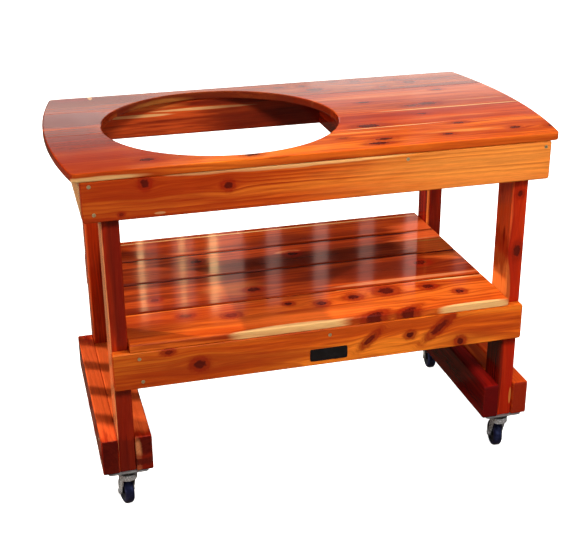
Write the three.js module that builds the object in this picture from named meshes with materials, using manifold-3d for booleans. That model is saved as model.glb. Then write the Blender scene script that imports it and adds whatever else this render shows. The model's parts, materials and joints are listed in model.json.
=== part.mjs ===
// Kamado grill table: a varnished cedar frame on four swivel casters, with a boarded top that has
// bowed ends and a round grill cut-out, a slatted shelf, and a pair of runners under each end.
// The length runs along X, the front faces -Y, Z is up and the floor is z = 0.
import * as THREE from 'three';
import { mergeVertices } from 'three/addons/utils/BufferGeometryUtils.js';
import Module from 'manifold-3d';

const wasm = await Module();
wasm.setup();

// Driving dimensions, all in millimetres
const FRAME_LENGTH = 1040;
const FRAME_DEPTH = 611;
const TOP_REVEAL = 2;
const CASTER_HEIGHT = 108;
const BOARD_THICK = 19;
const APRON_THICK = 22;
const LUMBER_THICK = 38;
const LUMBER_HEIGHT = 89;
const LEG_DEPTH = 76;
const LEG_INSET = 38;
const TOP_UNDERSIDE = 811;
const LOWER_APRON_TOP = 416;
const EASE = 2.5;
const TOP_EASE = 3;
const END_ROUND = 6;
const LUMBER_ROUND = 3;

// Top: bowed ends, the round cut-out and the joints between its five boards
const TOP_OVERHANG = 15.5;
const TOP_BOW = 33.5;
const TOP_CORNER = 12;
const HOLE_X = -166;
const HOLE_Y = 4;
const HOLE_MARGIN = 6.5;
const TOP_JOINTS = [-155, -30, 26, 166];
const JOINT_GAP = 0.4;
const JOINT_EASE = 0.7;
const JOIST_LEFT = 154;

// Shelf boards and the open gaps between them
const SHELF_GAPS = [-146, 20, 169];
const SHELF_GAP = 6;

// Runners: how far they lead the front legs and stop short of the rear ones
const RUNNER_LEAD = 6.5;
const RUNNER_SETBACK = 16.5;

// Swivel casters: kingpin places, heights and running fits
const FRONT_KINGPIN_SET = 30;
const REAR_KINGPIN_SET = 55;
const TRAIL = 20;
const WHEEL_GAP = 12.7;
const WHEEL_WIDTH = 22;
const TYRE_DEPTH = 9;
const HUB_WIDTH = 24;
const HUB_RELIEF = 3;
const HUB_RIM = 3.5;
const HUB_BOSS = 9;
const TYRE_ROUND = 7;
const PLATE_LENGTH = 92;
const PLATE_DEPTH = 58;
const PLATE_THICK = 3.5;
const PLATE_ROUND = 7;
const PLATE_EASE = 0.6;
const RACE_RADIUS = 19;
const RACE_NECK = 15.5;
const RACE_DROP = 12.5;
const RACE_LIP = 3;
const CROWN_RADIUS = 21.5;
const CROWN_GAP = 0.8;
const CROWN_THICK = 3;
const SKIRT_DROP = 13;
const SKIRT_THICK = 2.4;
const FORK_THICK = 2.6;
const FORK_SIDE_GAP = 1.2;
const FORK_SHOULDER = 19;
const FORK_EYE = 9;
const PIN_RADIUS = 6;
const PIN_HEAD_RADIUS = 9.5;
const PIN_HEAD = 4;
const PIN_GAP = 0.3;
const AXLE_RADIUS = 4;
const AXLE_HEAD_RADIUS = 6.6;
const AXLE_HEAD = 3.6;
const RUNNING_FIT = 0.1;
const SEAT_FIT = 0.03;
const CUT_OVERRUN = 2;

// Facets of round forms
const RIM_SEGMENTS = 68;
const BOW_SEGMENTS = 14;
const FIT_SEGMENTS = 20;
const WHEEL_SEGMENTS = 24;
const ROUND_SEGMENTS = 2;
const SMALL_ROUND_SEGMENTS = 1;
const EASE_SEGMENTS = 1;
const RIM_EASE_SEGMENTS = 2;

const HALF = 0.5;
const LEAST_CORNER_SHARE = 0.2;
const TOP_COLOUR = 0xc4603c;
const FRONT_COLOUR = 0xcc5a24;
const FRAME_COLOUR = 0xb4431e;
const LEG_COLOUR = 0xa83a1c;
const SHELF_COLOUR = 0xa8492a;
const ZINC_COLOUR = 0xb9bec6;
const DARK_ZINC_COLOUR = 0x55585e;
const HUB_COLOUR = 0x24262c;
const TYRE_COLOUR = 0x10131f;

const table = new THREE.Group();
table.name = 'kamado_grill_table';

function varnished(colour, roughness) {
  return new THREE.MeshStandardMaterial({ color: colour, roughness, metalness: 0 });
}

function metal(colour, roughness) {
  return new THREE.MeshStandardMaterial({ color: colour, roughness, metalness: 1 });
}

function add(name, geometry, material, parent = table) {
  const mesh = new THREE.Mesh(geometry, material);
  mesh.name = name;
  parent.add(mesh);
  return mesh;
}

// Solids for cutting, and back again
function solid(geometry) {
  const plain = geometry.clone();
  plain.deleteAttribute('normal');
  plain.deleteAttribute('uv');
  const merged = mergeVertices(plain);
  return new wasm.Manifold(new wasm.Mesh({
    numProp: 3,
    vertProperties: Float32Array.from(merged.attributes.position.array),
    triVerts: Uint32Array.from(merged.index.array),
  }));
}

function surface(manifold) {
  const mesh = manifold.getMesh();
  const geometry = new THREE.BufferGeometry();
  geometry.setAttribute('position', new THREE.BufferAttribute(mesh.vertProperties, mesh.numProp));
  geometry.setIndex(new THREE.BufferAttribute(mesh.triVerts, 1));
  geometry.computeVertexNormals();
  return geometry;
}

// A rectangle with rounded corners, drawn in the plane of a board's broad face
function roundedRectangle(x0, x1, y0, y1, radius) {
  const shape = new THREE.Shape();
  shape.moveTo(x0 + radius, y0);
  shape.lineTo(x1 - radius, y0);
  shape.absarc(x1 - radius, y0 + radius, radius, -Math.PI / 2, 0);
  shape.lineTo(x1, y1 - radius);
  shape.absarc(x1 - radius, y1 - radius, radius, 0, Math.PI / 2);
  shape.lineTo(x0 + radius, y1);
  shape.absarc(x0 + radius, y1 - radius, radius, Math.PI / 2, Math.PI);
  shape.lineTo(x0, y0 + radius);
  shape.absarc(x0 + radius, y0 + radius, radius, Math.PI, Math.PI * 1.5);
  return shape;
}

// A board with eased edges. `thin` is the axis of its thickness, and the box is in table axes.
function board(thin, x, y, z, ease = EASE, round = LUMBER_ROUND) {
  const faces = { x: [y, z, x], y: [x, z, y], z: [x, y, z] }[thin];
  const [across, up, through] = faces;
  const shape = roundedRectangle(
    across[0] + ease, across[1] - ease, up[0] + ease, up[1] - ease, Math.max(round - ease, ease * LEAST_CORNER_SHARE),
  );
  const geometry = new THREE.ExtrudeGeometry(shape, {
    depth: through[1] - through[0] - ease * 2,
    bevelThickness: ease,
    bevelSize: ease,
    bevelSegments: EASE_SEGMENTS,
    curveSegments: round > LUMBER_ROUND ? ROUND_SEGMENTS : SMALL_ROUND_SEGMENTS,
  });
  if (thin === 'z') {
    geometry.translate(0, 0, through[0] + ease);
  } else if (thin === 'y') {
    geometry.rotateX(Math.PI / 2);
    geometry.translate(0, through[1] - ease, 0);
  } else {
    geometry.rotateX(Math.PI / 2);
    geometry.rotateZ(Math.PI / 2);
    geometry.translate(through[0] + ease, 0, 0);
  }
  return geometry;
}

// A solid of revolution about Z from [radius, height] pairs that start and end on the axis or close
function turned(profile, segments) {
  const points = profile.map(([radius, height]) => new THREE.Vector2(radius, height));
  const geometry = new THREE.LatheGeometry(points, segments);
  geometry.rotateX(Math.PI / 2);
  return geometry;
}

// Places shared by several pieces
const frameX = FRAME_LENGTH * HALF;
const frameY = FRAME_DEPTH * HALF;
const topY = frameY + TOP_REVEAL;
const insideY = frameY - APRON_THICK;
const legOuterX = frameX - LEG_INSET;
const legInnerX = legOuterX - LUMBER_THICK;
const legMidX = legOuterX - LUMBER_THICK * HALF;
const topHeight = TOP_UNDERSIDE + BOARD_THICK;
const upperZ = [TOP_UNDERSIDE - LUMBER_HEIGHT, TOP_UNDERSIDE];
const lowerZ = [LOWER_APRON_TOP - LUMBER_HEIGHT, LOWER_APRON_TOP];
const shelfZ = [LOWER_APRON_TOP, LOWER_APRON_TOP + BOARD_THICK];
const runnerZ = [CASTER_HEIGHT, CASTER_HEIGHT + LUMBER_HEIGHT];
const between = [-insideY, insideY];
const betweenLegs = [LEG_DEPTH - insideY, insideY - LEG_DEPTH];
const holeRadius = insideY - HOLE_Y - HOLE_MARGIN;
const runnerY = [-insideY - RUNNER_LEAD, insideY - RUNNER_SETBACK];

// Top boards: one bowed panel with its cut-out, divided along the joints
function topOutline(inset) {
  const bowRadius = (topY ** 2 + TOP_BOW ** 2) / (TOP_BOW * 2);
  const centreX = frameX + TOP_OVERHANG + TOP_BOW - bowRadius;
  const radius = bowRadius - inset;
  const corner = TOP_CORNER - inset;
  const reach = Math.asin((topY - inset - corner) / (radius - corner));
  const cornerX = centreX + (radius - corner) * Math.cos(reach);
  const cornerY = (radius - corner) * Math.sin(reach);
  const rightEnd = [];
  for (let i = 0; i <= ROUND_SEGMENTS; i += 1) {
    const angle = -Math.PI / 2 + (Math.PI / 2 - reach) * (i / ROUND_SEGMENTS);
    rightEnd.push([cornerX + corner * Math.cos(angle), -cornerY + corner * Math.sin(angle)]);
  }
  for (let i = 1; i < BOW_SEGMENTS; i += 1) {
    const angle = reach * (i / BOW_SEGMENTS * 2 - 1);
    rightEnd.push([centreX + radius * Math.cos(angle), radius * Math.sin(angle)]);
  }
  for (let i = 0; i <= ROUND_SEGMENTS; i += 1) {
    const angle = reach + (Math.PI / 2 - reach) * (i / ROUND_SEGMENTS);
    rightEnd.push([cornerX + corner * Math.cos(angle), cornerY + corner * Math.sin(angle)]);
  }
  const leftEnd = rightEnd.map(([x, y]) => [-x, y]).reverse();
  return new THREE.Shape([...rightEnd, ...leftEnd].map(([x, y]) => new THREE.Vector2(x, y)));
}

const panelShape = topOutline(TOP_EASE);
const cutOut = new THREE.Path();
cutOut.absarc(HOLE_X, HOLE_Y, holeRadius + TOP_EASE, 0, Math.PI * 2, true);
panelShape.holes.push(cutOut);
const panelGeometry = new THREE.ExtrudeGeometry(panelShape, {
  depth: BOARD_THICK - TOP_EASE * 2,
  bevelThickness: TOP_EASE,
  bevelSize: TOP_EASE,
  bevelSegments: RIM_EASE_SEGMENTS,
  curveSegments: RIM_SEGMENTS / 2,
});
panelGeometry.translate(0, 0, TOP_UNDERSIDE + TOP_EASE);
const panel = solid(panelGeometry);
const stripLimits = [-topY - CUT_OVERRUN, ...TOP_JOINTS, topY + CUT_OVERRUN];
const reachX = frameX + TOP_OVERHANG + TOP_BOW + CUT_OVERRUN;
for (let i = 0; i < stripLimits.length - 1; i += 1) {
  const first = i === 0;
  const last = i === stripLimits.length - 2;
  const y0 = stripLimits[i] + (first ? -JOINT_EASE : JOINT_GAP * HALF);
  const y1 = stripLimits[i + 1] - (last ? -JOINT_EASE : JOINT_GAP * HALF);
  // The cut-out parts each inner board into a left and a right length
  const lengths = first || last
    ? [['', -reachX, reachX]]
    : [['_left', -reachX, HOLE_X], ['_right', HOLE_X, reachX]];
  for (const [suffix, x0, x1] of lengths) {
    const strip = solid(board('z', [x0, x1], [y0, y1], [TOP_UNDERSIDE, topHeight], JOINT_EASE));
    add(`top_board_${i + 1}${suffix}`, surface(panel.intersect(strip)), varnished(TOP_COLOUR, 0.32));
  }
}

// Upper frame: front and rear aprons, side aprons and the joist beside the cut-out
for (const [side, sign] of [['front', -1], ['rear', 1]]) {
  const faces = [sign * insideY, sign * frameY].sort((a, b) => a - b);
  add(`upper_apron_${side}`,
    board('y', [-frameX, frameX], faces, upperZ, EASE, END_ROUND), varnished(FRONT_COLOUR, 0.34));
  add(`lower_apron_${side}`,
    board('y', [-legOuterX, legOuterX], faces, lowerZ, EASE, END_ROUND), varnished(FRONT_COLOUR, 0.34));
}
for (const [side, sign] of [['left', -1], ['right', 1]]) {
  const faces = [sign * legOuterX, sign * frameX].sort((a, b) => a - b);
  add(`upper_apron_${side}`, board('x', faces, between, upperZ), varnished(FRAME_COLOUR, 0.38));
}
add('upper_joist', board('x', [JOIST_LEFT, JOIST_LEFT + LUMBER_THICK], between, upperZ),
  varnished(FRAME_COLOUR, 0.4));

// Legs stand inside the aprons and run down between the runners to the casters
for (const [end, signY] of [['front', -1], ['rear', 1]]) {
  for (const [side, signX] of [['left', -1], ['right', 1]]) {
    const x = [signX * legInnerX, signX * legOuterX].sort((a, b) => a - b);
    const y = [signY * insideY, signY * (insideY - LEG_DEPTH)].sort((a, b) => a - b);
    add(`leg_${end}_${side}`, board('x', x, y, [CASTER_HEIGHT, TOP_UNDERSIDE]),
      varnished(LEG_COLOUR, 0.36));
  }
}

// Lower frame: three cross members between the lower aprons
const crossMiddles = [
  ['left', -legInnerX + LUMBER_THICK * HALF],
  ['middle', 0],
  ['right', legInnerX - LUMBER_THICK * HALF],
];
for (const [place, middle] of crossMiddles) {
  const faces = [middle - LUMBER_THICK * HALF, middle + LUMBER_THICK * HALF];
  add(`cross_member_${place}`, board('x', faces, between, lowerZ), varnished(FRAME_COLOUR, 0.4));
}

// Shelf boards
const shelfEdges = [-frameY, ...SHELF_GAPS, frameY];
for (let i = 0; i < shelfEdges.length - 1; i += 1) {
  const y0 = shelfEdges[i] + (i === 0 ? 0 : SHELF_GAP * HALF);
  const y1 = shelfEdges[i + 1] - (i === shelfEdges.length - 2 ? 0 : SHELF_GAP * HALF);
  add(`shelf_board_${i + 1}`, board('z', [-legInnerX, legInnerX], [y0, y1], shelfZ),
    varnished(SHELF_COLOUR, 0.22));
}

// Runners clamp the foot of each leg from both sides, with a filler between the two legs
for (const [side, sign] of [['left', -1], ['right', 1]]) {
  const outer = [sign * legOuterX, sign * frameX].sort((a, b) => a - b);
  const inner = [sign * legInnerX, sign * (legInnerX - LUMBER_THICK)].sort((a, b) => a - b);
  for (const [place, faces] of [['outer', outer], ['inner', inner]]) {
    add(`runner_${place}_${side}`, board('x', faces, runnerY, runnerZ, EASE, END_ROUND),
      varnished(FRAME_COLOUR, 0.34));
  }
  const middle = [sign * legInnerX, sign * legOuterX].sort((a, b) => a - b);
  add(`runner_filler_${side}`, board('x', middle, betweenLegs, runnerZ), varnished(FRAME_COLOUR, 0.34));
}

// Casters. Each group sits on the floor under its kingpin, and its wheel trails along +Y.
const plateUnder = CASTER_HEIGHT - PLATE_THICK;
const raceUnder = plateUnder - RACE_DROP;
const crownTop = raceUnder - PIN_GAP;
const crownUnder = crownTop - CROWN_THICK;
const skirtUnder = crownTop - SKIRT_DROP;
const wheelRadius = (skirtUnder - WHEEL_GAP) * HALF;
const hubRadius = wheelRadius - TYRE_DEPTH;
const forkInner = HUB_WIDTH * HALF + FORK_SIDE_GAP;
const forkOuter = forkInner + FORK_THICK;

function casterPlate() {
  const plate = board('z',
    [-PLATE_LENGTH * HALF, PLATE_LENGTH * HALF], [-PLATE_DEPTH * HALF, PLATE_DEPTH * HALF],
    [plateUnder, CASTER_HEIGHT], PLATE_EASE, PLATE_ROUND);
  const bore = turned([
    [0, plateUnder - CUT_OVERRUN], [PIN_RADIUS + SEAT_FIT, plateUnder - CUT_OVERRUN],
    [PIN_RADIUS + SEAT_FIT, CASTER_HEIGHT + CUT_OVERRUN], [0, CASTER_HEIGHT + CUT_OVERRUN],
  ], FIT_SEGMENTS);
  return surface(solid(plate).subtract(solid(bore)));
}

function casterRace() {
  const bore = PIN_RADIUS + SEAT_FIT;
  return turned([
    [bore, raceUnder], [RACE_RADIUS, raceUnder], [RACE_RADIUS, raceUnder + RACE_LIP],
    [RACE_NECK, raceUnder + RACE_LIP * 2], [RACE_RADIUS, plateUnder], [bore, plateUnder],
    [bore, raceUnder],
  ], FIT_SEGMENTS);
}

function casterKingpin() {
  const headTop = crownUnder - PIN_GAP;
  return turned([
    [0, headTop - PIN_HEAD], [PIN_HEAD_RADIUS - PIN_HEAD * HALF, headTop - PIN_HEAD],
    [PIN_HEAD_RADIUS, headTop - PIN_HEAD * HALF], [PIN_HEAD_RADIUS, headTop], [PIN_RADIUS, headTop],
    [PIN_RADIUS, CASTER_HEIGHT - PIN_GAP], [0, CASTER_HEIGHT - PIN_GAP],
  ], FIT_SEGMENTS);
}

function forkSide() {
  const shape = new THREE.Shape();
  const lift = crownTop - CUT_OVERRUN;
  shape.moveTo(-FORK_SHOULDER * HALF, lift);
  shape.lineTo(-FORK_SHOULDER * HALF, skirtUnder);
  shape.lineTo(TRAIL - FORK_EYE, wheelRadius);
  shape.absarc(TRAIL, wheelRadius, FORK_EYE, Math.PI, 0);
  shape.lineTo(FORK_SHOULDER * HALF + CUT_OVERRUN, skirtUnder);
  shape.lineTo(FORK_SHOULDER * HALF, lift);
  const geometry = new THREE.ExtrudeGeometry(shape, {
    depth: FORK_THICK, bevelEnabled: false, curveSegments: FIT_SEGMENTS / 2,
  });
  geometry.rotateX(Math.PI / 2);
  geometry.rotateZ(Math.PI / 2);
  return geometry;
}

function casterFork() {
  const bore = PIN_RADIUS + RUNNING_FIT;
  const crown = turned([
    [bore, crownUnder], [CROWN_RADIUS - SKIRT_THICK, crownUnder],
    [CROWN_RADIUS - SKIRT_THICK, skirtUnder], [CROWN_RADIUS, skirtUnder],
    [CROWN_RADIUS, crownTop + CROWN_GAP], [RACE_RADIUS + CROWN_GAP, crownTop + CROWN_GAP],
    [RACE_RADIUS + CROWN_GAP, crownTop], [bore, crownTop], [bore, crownUnder],
  ], FIT_SEGMENTS);
  let fork = solid(crown);
  for (const start of [-forkOuter, forkInner]) {
    fork = fork.add(solid(forkSide()).translate([start, 0, 0]));
  }
  const eye = AXLE_RADIUS + SEAT_FIT;
  const hole = turned([[0, -forkOuter - CUT_OVERRUN], [eye, -forkOuter - CUT_OVERRUN],
    [eye, forkOuter + CUT_OVERRUN], [0, forkOuter + CUT_OVERRUN]], FIT_SEGMENTS);
  hole.rotateY(Math.PI / 2);
  hole.translate(0, TRAIL, wheelRadius);
  return surface(fork.subtract(solid(hole)));
}

function casterAxle() {
  const face = forkOuter + SEAT_FIT;
  const end = face + AXLE_HEAD;
  const soft = AXLE_HEAD_RADIUS - CROWN_GAP;
  const axle = turned([
    [0, -end], [soft, -end], [AXLE_HEAD_RADIUS, -face], [AXLE_RADIUS, -face],
    [AXLE_RADIUS, face], [AXLE_HEAD_RADIUS, face], [soft, end], [0, end],
  ], FIT_SEGMENTS);
  axle.rotateY(Math.PI / 2);
  return axle;
}

function wheelHub() {
  const half = HUB_WIDTH * HALF;
  const web = half - HUB_RELIEF;
  const rim = WHEEL_WIDTH * HALF - HUB_RELIEF * HALF;
  const bore = AXLE_RADIUS + RUNNING_FIT;
  const rimInner = hubRadius - HUB_RIM;
  const upper = [[bore, half], [HUB_BOSS, half], [HUB_BOSS + CROWN_GAP, web - HUB_RELIEF],
    [rimInner, web - HUB_RELIEF], [rimInner + CROWN_GAP, rim], [hubRadius, rim]];
  const lower = upper.map(([radius, height]) => [radius, -height]);
  const hub = turned([...lower, ...upper.reverse(), lower[0]], WHEEL_SEGMENTS);
  hub.rotateY(Math.PI / 2);
  return hub;
}

function wheelTyre() {
  const half = WHEEL_WIDTH * HALF;
  const seat = hubRadius + SEAT_FIT;
  const profile = [[seat, -half]];
  for (const [sign, start] of [[-1, -Math.PI / 2], [1, 0]]) {
    for (let i = 0; i <= ROUND_SEGMENTS; i += 1) {
      const angle = start + (Math.PI / 2) * (i / ROUND_SEGMENTS);
      profile.push([wheelRadius - TYRE_ROUND + TYRE_ROUND * Math.cos(angle),
        sign * (half - TYRE_ROUND) + TYRE_ROUND * Math.sin(angle)]);
    }
  }
  profile.push([seat, half], [seat, -half]);
  const tyre = turned(profile, WHEEL_SEGMENTS);
  tyre.rotateY(Math.PI / 2);
  return tyre;
}

// Each caster's end of the table and its resting swivel angle about Z, in degrees
const frontKingpinY = runnerY[0] + FRONT_KINGPIN_SET;
const rearKingpinY = runnerY[1] - REAR_KINGPIN_SET;
const CASTERS = [
  { id: 'fl', x: -1, y: frontKingpinY, turn: 12 },
  { id: 'fr', x: 1, y: frontKingpinY, turn: -7 },
  { id: 'rl', x: -1, y: rearKingpinY, turn: 188 },
  { id: 'rr', x: 1, y: rearKingpinY, turn: 174 },
];

for (const { id, x, y, turn } of CASTERS) {
  const swivel = new THREE.Group();
  swivel.name = `caster_${id}`;
  swivel.position.set(x * legMidX, y, 0);
  swivel.rotation.z = THREE.MathUtils.degToRad(turn);
  table.add(swivel);
  const wheel = new THREE.Group();
  wheel.name = `caster_${id}_wheel`;
  wheel.position.set(0, TRAIL, wheelRadius);
  swivel.add(wheel);
  const plate = add(`caster_${id}_plate`, casterPlate(), metal(DARK_ZINC_COLOUR, 0.45));
  const race = add(`caster_${id}_race`, casterRace(), metal(DARK_ZINC_COLOUR, 0.4));
  const kingpin = add(`caster_${id}_kingpin`, casterKingpin(), metal(ZINC_COLOUR, 0.35));
  for (const fixed of [plate, race, kingpin]) {
    fixed.position.copy(swivel.position);
  }
  add(`caster_${id}_fork`, casterFork(), metal(ZINC_COLOUR, 0.32), swivel);
  add(`caster_${id}_axle`, casterAxle(), metal(ZINC_COLOUR, 0.3), wheel);
  add(`caster_${id}_hub`, wheelHub(), varnished(HUB_COLOUR, 0.5), wheel);
  add(`caster_${id}_tyre`, wheelTyre(), varnished(TYRE_COLOUR, 0.55), wheel);
}

export default table;
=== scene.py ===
"""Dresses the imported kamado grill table: varnished cedar boards, screws, a bare plate and casters.

Metres; X along the table, the front faces -Y, Z is up and the floor is z = 0.
"""

import json
import logging
import math
from dataclasses import dataclass, field, replace
from enum import Enum

import bmesh
import bpy
from mathutils import Matrix, Vector

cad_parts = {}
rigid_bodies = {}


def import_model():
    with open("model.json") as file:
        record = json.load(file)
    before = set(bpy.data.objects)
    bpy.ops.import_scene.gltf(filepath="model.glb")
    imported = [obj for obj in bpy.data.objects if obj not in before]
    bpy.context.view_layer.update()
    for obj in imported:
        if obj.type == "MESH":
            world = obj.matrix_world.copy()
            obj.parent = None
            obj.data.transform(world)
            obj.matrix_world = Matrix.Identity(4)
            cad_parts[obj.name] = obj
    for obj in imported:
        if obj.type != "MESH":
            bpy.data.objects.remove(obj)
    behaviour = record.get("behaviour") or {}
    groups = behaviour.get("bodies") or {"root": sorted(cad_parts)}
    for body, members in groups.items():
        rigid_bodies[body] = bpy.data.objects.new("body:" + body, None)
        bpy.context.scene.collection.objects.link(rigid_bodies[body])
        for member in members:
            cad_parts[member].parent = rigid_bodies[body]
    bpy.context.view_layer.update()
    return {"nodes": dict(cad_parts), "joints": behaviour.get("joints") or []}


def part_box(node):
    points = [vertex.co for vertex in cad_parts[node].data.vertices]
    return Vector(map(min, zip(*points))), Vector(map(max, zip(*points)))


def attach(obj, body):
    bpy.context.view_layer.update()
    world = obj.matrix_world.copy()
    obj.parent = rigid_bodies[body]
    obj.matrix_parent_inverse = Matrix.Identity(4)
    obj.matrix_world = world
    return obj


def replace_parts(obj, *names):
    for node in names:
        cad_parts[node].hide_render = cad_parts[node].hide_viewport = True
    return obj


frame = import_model()
LOG = logging.getLogger("grill_table")

Colour = tuple[float, float, float]
Place = tuple[float, float, float]
Point = tuple[float, float]
Span = tuple[float, float]
Socket = bpy.types.NodeSocket


def srgb(red: float, green: float, blue: float) -> Colour:
    """Turns a 0 to 255 display colour into a linear one.

    Args:
        red: Red as seen on a display.
        green: Green as seen on a display.
        blue: Blue as seen on a display.

    Returns:
        The linear colour.
    """
    def channel(value: float) -> float:
        """One channel, from 0 to 255, made linear."""
        share = value / 255
        return share / 12.92 if share <= 0.04045 else ((share + 0.055) / 1.055) ** 2.4
    return channel(red), channel(green), channel(blue)


class Lay(Enum):
    """How a board's grain runs: which table axes are along, across and through it."""

    ALONG_X_FLAT = ("X", "Y", "Z")
    ALONG_X_UPRIGHT = ("X", "Z", "Y")
    ALONG_Y_UPRIGHT = ("Y", "Z", "X")
    ALONG_Z = ("Z", "X", "Y")


class Tone(Enum):
    """Colours that stand out of the heartwood, linear; several also serve as painted light and painted
    shade.
    """

    SAPWOOD = srgb(238, 188, 122)
    PALE = srgb(226, 140, 88)
    AMBER = srgb(222, 118, 50)
    GOLD = srgb(250, 166, 76)
    CORAL = srgb(238, 100, 46)
    # Painted light: a bright orange for light falling on the shelf
    LIT_ORANGE = srgb(255, 118, 44)
    RED = srgb(138, 27, 8)
    BROWN = srgb(78, 16, 9)
    UMBER = srgb(96, 27, 9)


@dataclass(frozen=True)
class Knot:
    """A knot in a board, in metres along and across the grain.

    Attributes:
        along: Its place along the grain.
        across: Its place across the grain.
        radius: Radius of its dark core.
        stretch: Its length along the grain over its width.
        core: Strength of the dark core, from 0 to 1.
        halo: Strength of the darker wood round it, from 0 to 1.
        slant: How far it climbs across the grain for each metre along it.
    """

    along: float
    across: float
    radius: float
    stretch: float = 1.25
    core: float = 0.9
    halo: float = 0.95
    slant: float = 0.0


@dataclass(frozen=True)
class Streak:
    """A lens lying along the grain: differently coloured wood, such as sapwood, and in places painted
    light and painted shade.

    Attributes:
        along: Its middle along the grain, in metres.
        across: Its middle across the grain.
        half_length: Half its length.
        half_width: Half its width.
        tone: Its colour.
        strength: How strongly it covers, from 0 to 1.
        through: Its middle through the board, or None where it goes right through.
        half_depth: Half its depth where it doesn't.
        edge: Share of its radius over which it fades.
    """

    along: float
    across: float
    half_length: float
    half_width: float
    tone: Tone = Tone.SAPWOOD
    strength: float = 0.9
    through: float | None = None
    half_depth: float = 0.01
    edge: float = 0.3


class Graph:
    """Adds nodes to one tree and links them."""

    def __init__(self, tree: bpy.types.NodeTree) -> None:
        """Keeps the tree that the nodes go in."""
        self.tree = tree

    def node(self, kind: str, **settings: object) -> bpy.types.Node:
        """Adds a node.

        Args:
            kind: The node's Blender type.
            settings: Attributes to set on it.

        Returns:
            The node.
        """
        made = self.tree.nodes.new(kind)
        for name, value in settings.items():
            setattr(made, name, value)
        return made

    def feed(self, socket: Socket, value: object) -> None:
        """Links a socket to the input, or sets its value where that is plain."""
        if isinstance(value, Socket):
            self.tree.links.new(value, socket)
        elif value is not None:
            socket.default_value = value

    def wire(self, node: bpy.types.Node, **values: object) -> bpy.types.Node:
        """Feeds a node's inputs by name.

        Args:
            node: The node.
            values: Its inputs; an underscore in a name stands for a space.

        Returns:
            The node.
        """
        for name, value in values.items():
            self.feed(node.inputs[name.replace("_", " ")], value)
        return node

    def math(self, operation: str, first: object, second: object = None) -> Socket:
        """Adds a Math node.

        Args:
            operation: The operation's name.
            first: First value or socket.
            second: Second value or socket.

        Returns:
            Its result.
        """
        made = self.node("ShaderNodeMath", operation=operation)
        for socket, value in zip(made.inputs, (first, second)):
            self.feed(socket, value)
        return made.outputs[0]

    def add(self, first: object, second: object) -> Socket:
        """Adds two values."""
        return self.math("ADD", first, second)

    def sub(self, first: object, second: object) -> Socket:
        """Takes the second value from the first one."""
        return self.math("SUBTRACT", first, second)

    def mul(self, first: object, second: object) -> Socket:
        """Multiplies two values."""
        return self.math("MULTIPLY", first, second)

    def div(self, first: object, second: object) -> Socket:
        """Divides the first value by the second one."""
        return self.math("DIVIDE", first, second)

    def vector(self, operation: str, first: object, second: object = None) -> Socket:
        """Adds a Vector Math node and returns its vector, or its value for LENGTH."""
        made = self.node("ShaderNodeVectorMath", operation=operation)
        self.feed(made.inputs[0], first)
        self.feed(made.inputs[1], second)
        return made.outputs["Value" if operation == "LENGTH" else "Vector"]

    def shifted(self, place: Socket, scale: Place, shift: Socket) -> Socket:
        """Scales a place and shifts it, so that each board gets its own noise."""
        return self.vector("ADD", self.vector("MULTIPLY", place, scale), shift)

    def split(self, vector: object) -> tuple[Socket, ...]:
        """Splits a vector into its three values."""
        made = self.node("ShaderNodeSeparateXYZ")
        self.feed(made.inputs[0], vector)
        return tuple(made.outputs)

    def join(self, x: object, y: object, z: object) -> Socket:
        """Joins three values into a vector."""
        return self.wire(self.node("ShaderNodeCombineXYZ"), X=x, Y=y, Z=z).outputs[0]

    def place(self, kind: str = "Object") -> Socket:
        """The place on the surface, or its Normal, in the object's own axes."""
        return self.node("ShaderNodeTexCoord").outputs[kind]

    def noise(self, vector: object, scale: float, detail: float = 2.0,
              roughness: float = 0.5) -> Socket:
        """Adds a noise texture and returns its value."""
        made = self.node("ShaderNodeTexNoise")
        return self.wire(made, Vector=vector, Scale=scale, Detail=detail,
                         Roughness=roughness).outputs[0]

    def step(self, value: object, low: object, high: object,
             start: object = 0.0, end: object = 1.0) -> Socket:
        """Maps a value smoothly from low..high to start..end."""
        made = self.node("ShaderNodeMapRange", interpolation_type="SMOOTHSTEP")
        return self.wire(made, Value=value, From_Min=low, From_Max=high,
                         To_Min=start, To_Max=end).outputs[0]

    def mix(self, share: object, first: object, second: object, blend: str = "MIX") -> Socket:
        """Mixes two colours.

        Args:
            share: Share of the second colour.
            first: First colour.
            second: Second colour.
            blend: The blend type.

        Returns:
            The mixed colour.
        """
        made = self.node("ShaderNodeMix", data_type="RGBA", blend_type=blend)
        self.feed(made.inputs[0], share)
        for socket, value in ((made.inputs[6], first), (made.inputs[7], second)):
            self.feed(socket, (*value, 1.0) if isinstance(value, tuple) else value)
        return made.outputs[2]

    def bump(self, height: Socket, strength: float, distance: float) -> Socket:
        """Adds a bump.

        Args:
            height: What it follows.
            strength: How strongly, from 0 to 1.
            distance: Depth of the relief, in metres.

        Returns:
            Its normal.
        """
        made = self.node("ShaderNodeBump")
        return self.wire(made, Height=height, Strength=strength, Distance=distance).outputs[0]

    def group(self, tree: bpy.types.NodeTree, **values: object) -> bpy.types.Node:
        """Places a node group; an underscore in a name stands for a space."""
        return self.wire(self.node("ShaderNodeGroup", node_tree=tree), **values)


# Noise frequencies per metre along, across and through the grain
DRIFT_SCALE = (1.6, 7.0, 7.0)
RIPPLE_SCALE = (7.0, 26.0, 26.0)
BROAD_SCALE = (2.4, 17.0, 17.0)
PATCH_SCALE = (1.8, 38.0, 38.0)
FLECK_SCALE = (6.0, 105.0, 105.0)
HAIR_SCALE = (26.0, 620.0, 620.0)
LENS_SCALE = (9.0, 60.0, 60.0)
BRUSH_SCALE = (5.0, 240.0, 240.0)
SCRATCH_SCALE = (300.0, 2400.0, 900.0)
KNOT_SCALE = 130.0
SHEEN_SCALE = 9.0
NIB_SCALE = 420.0
ZINC_SCALE = 120.0
SPOT_SCALE = 260.0

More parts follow.
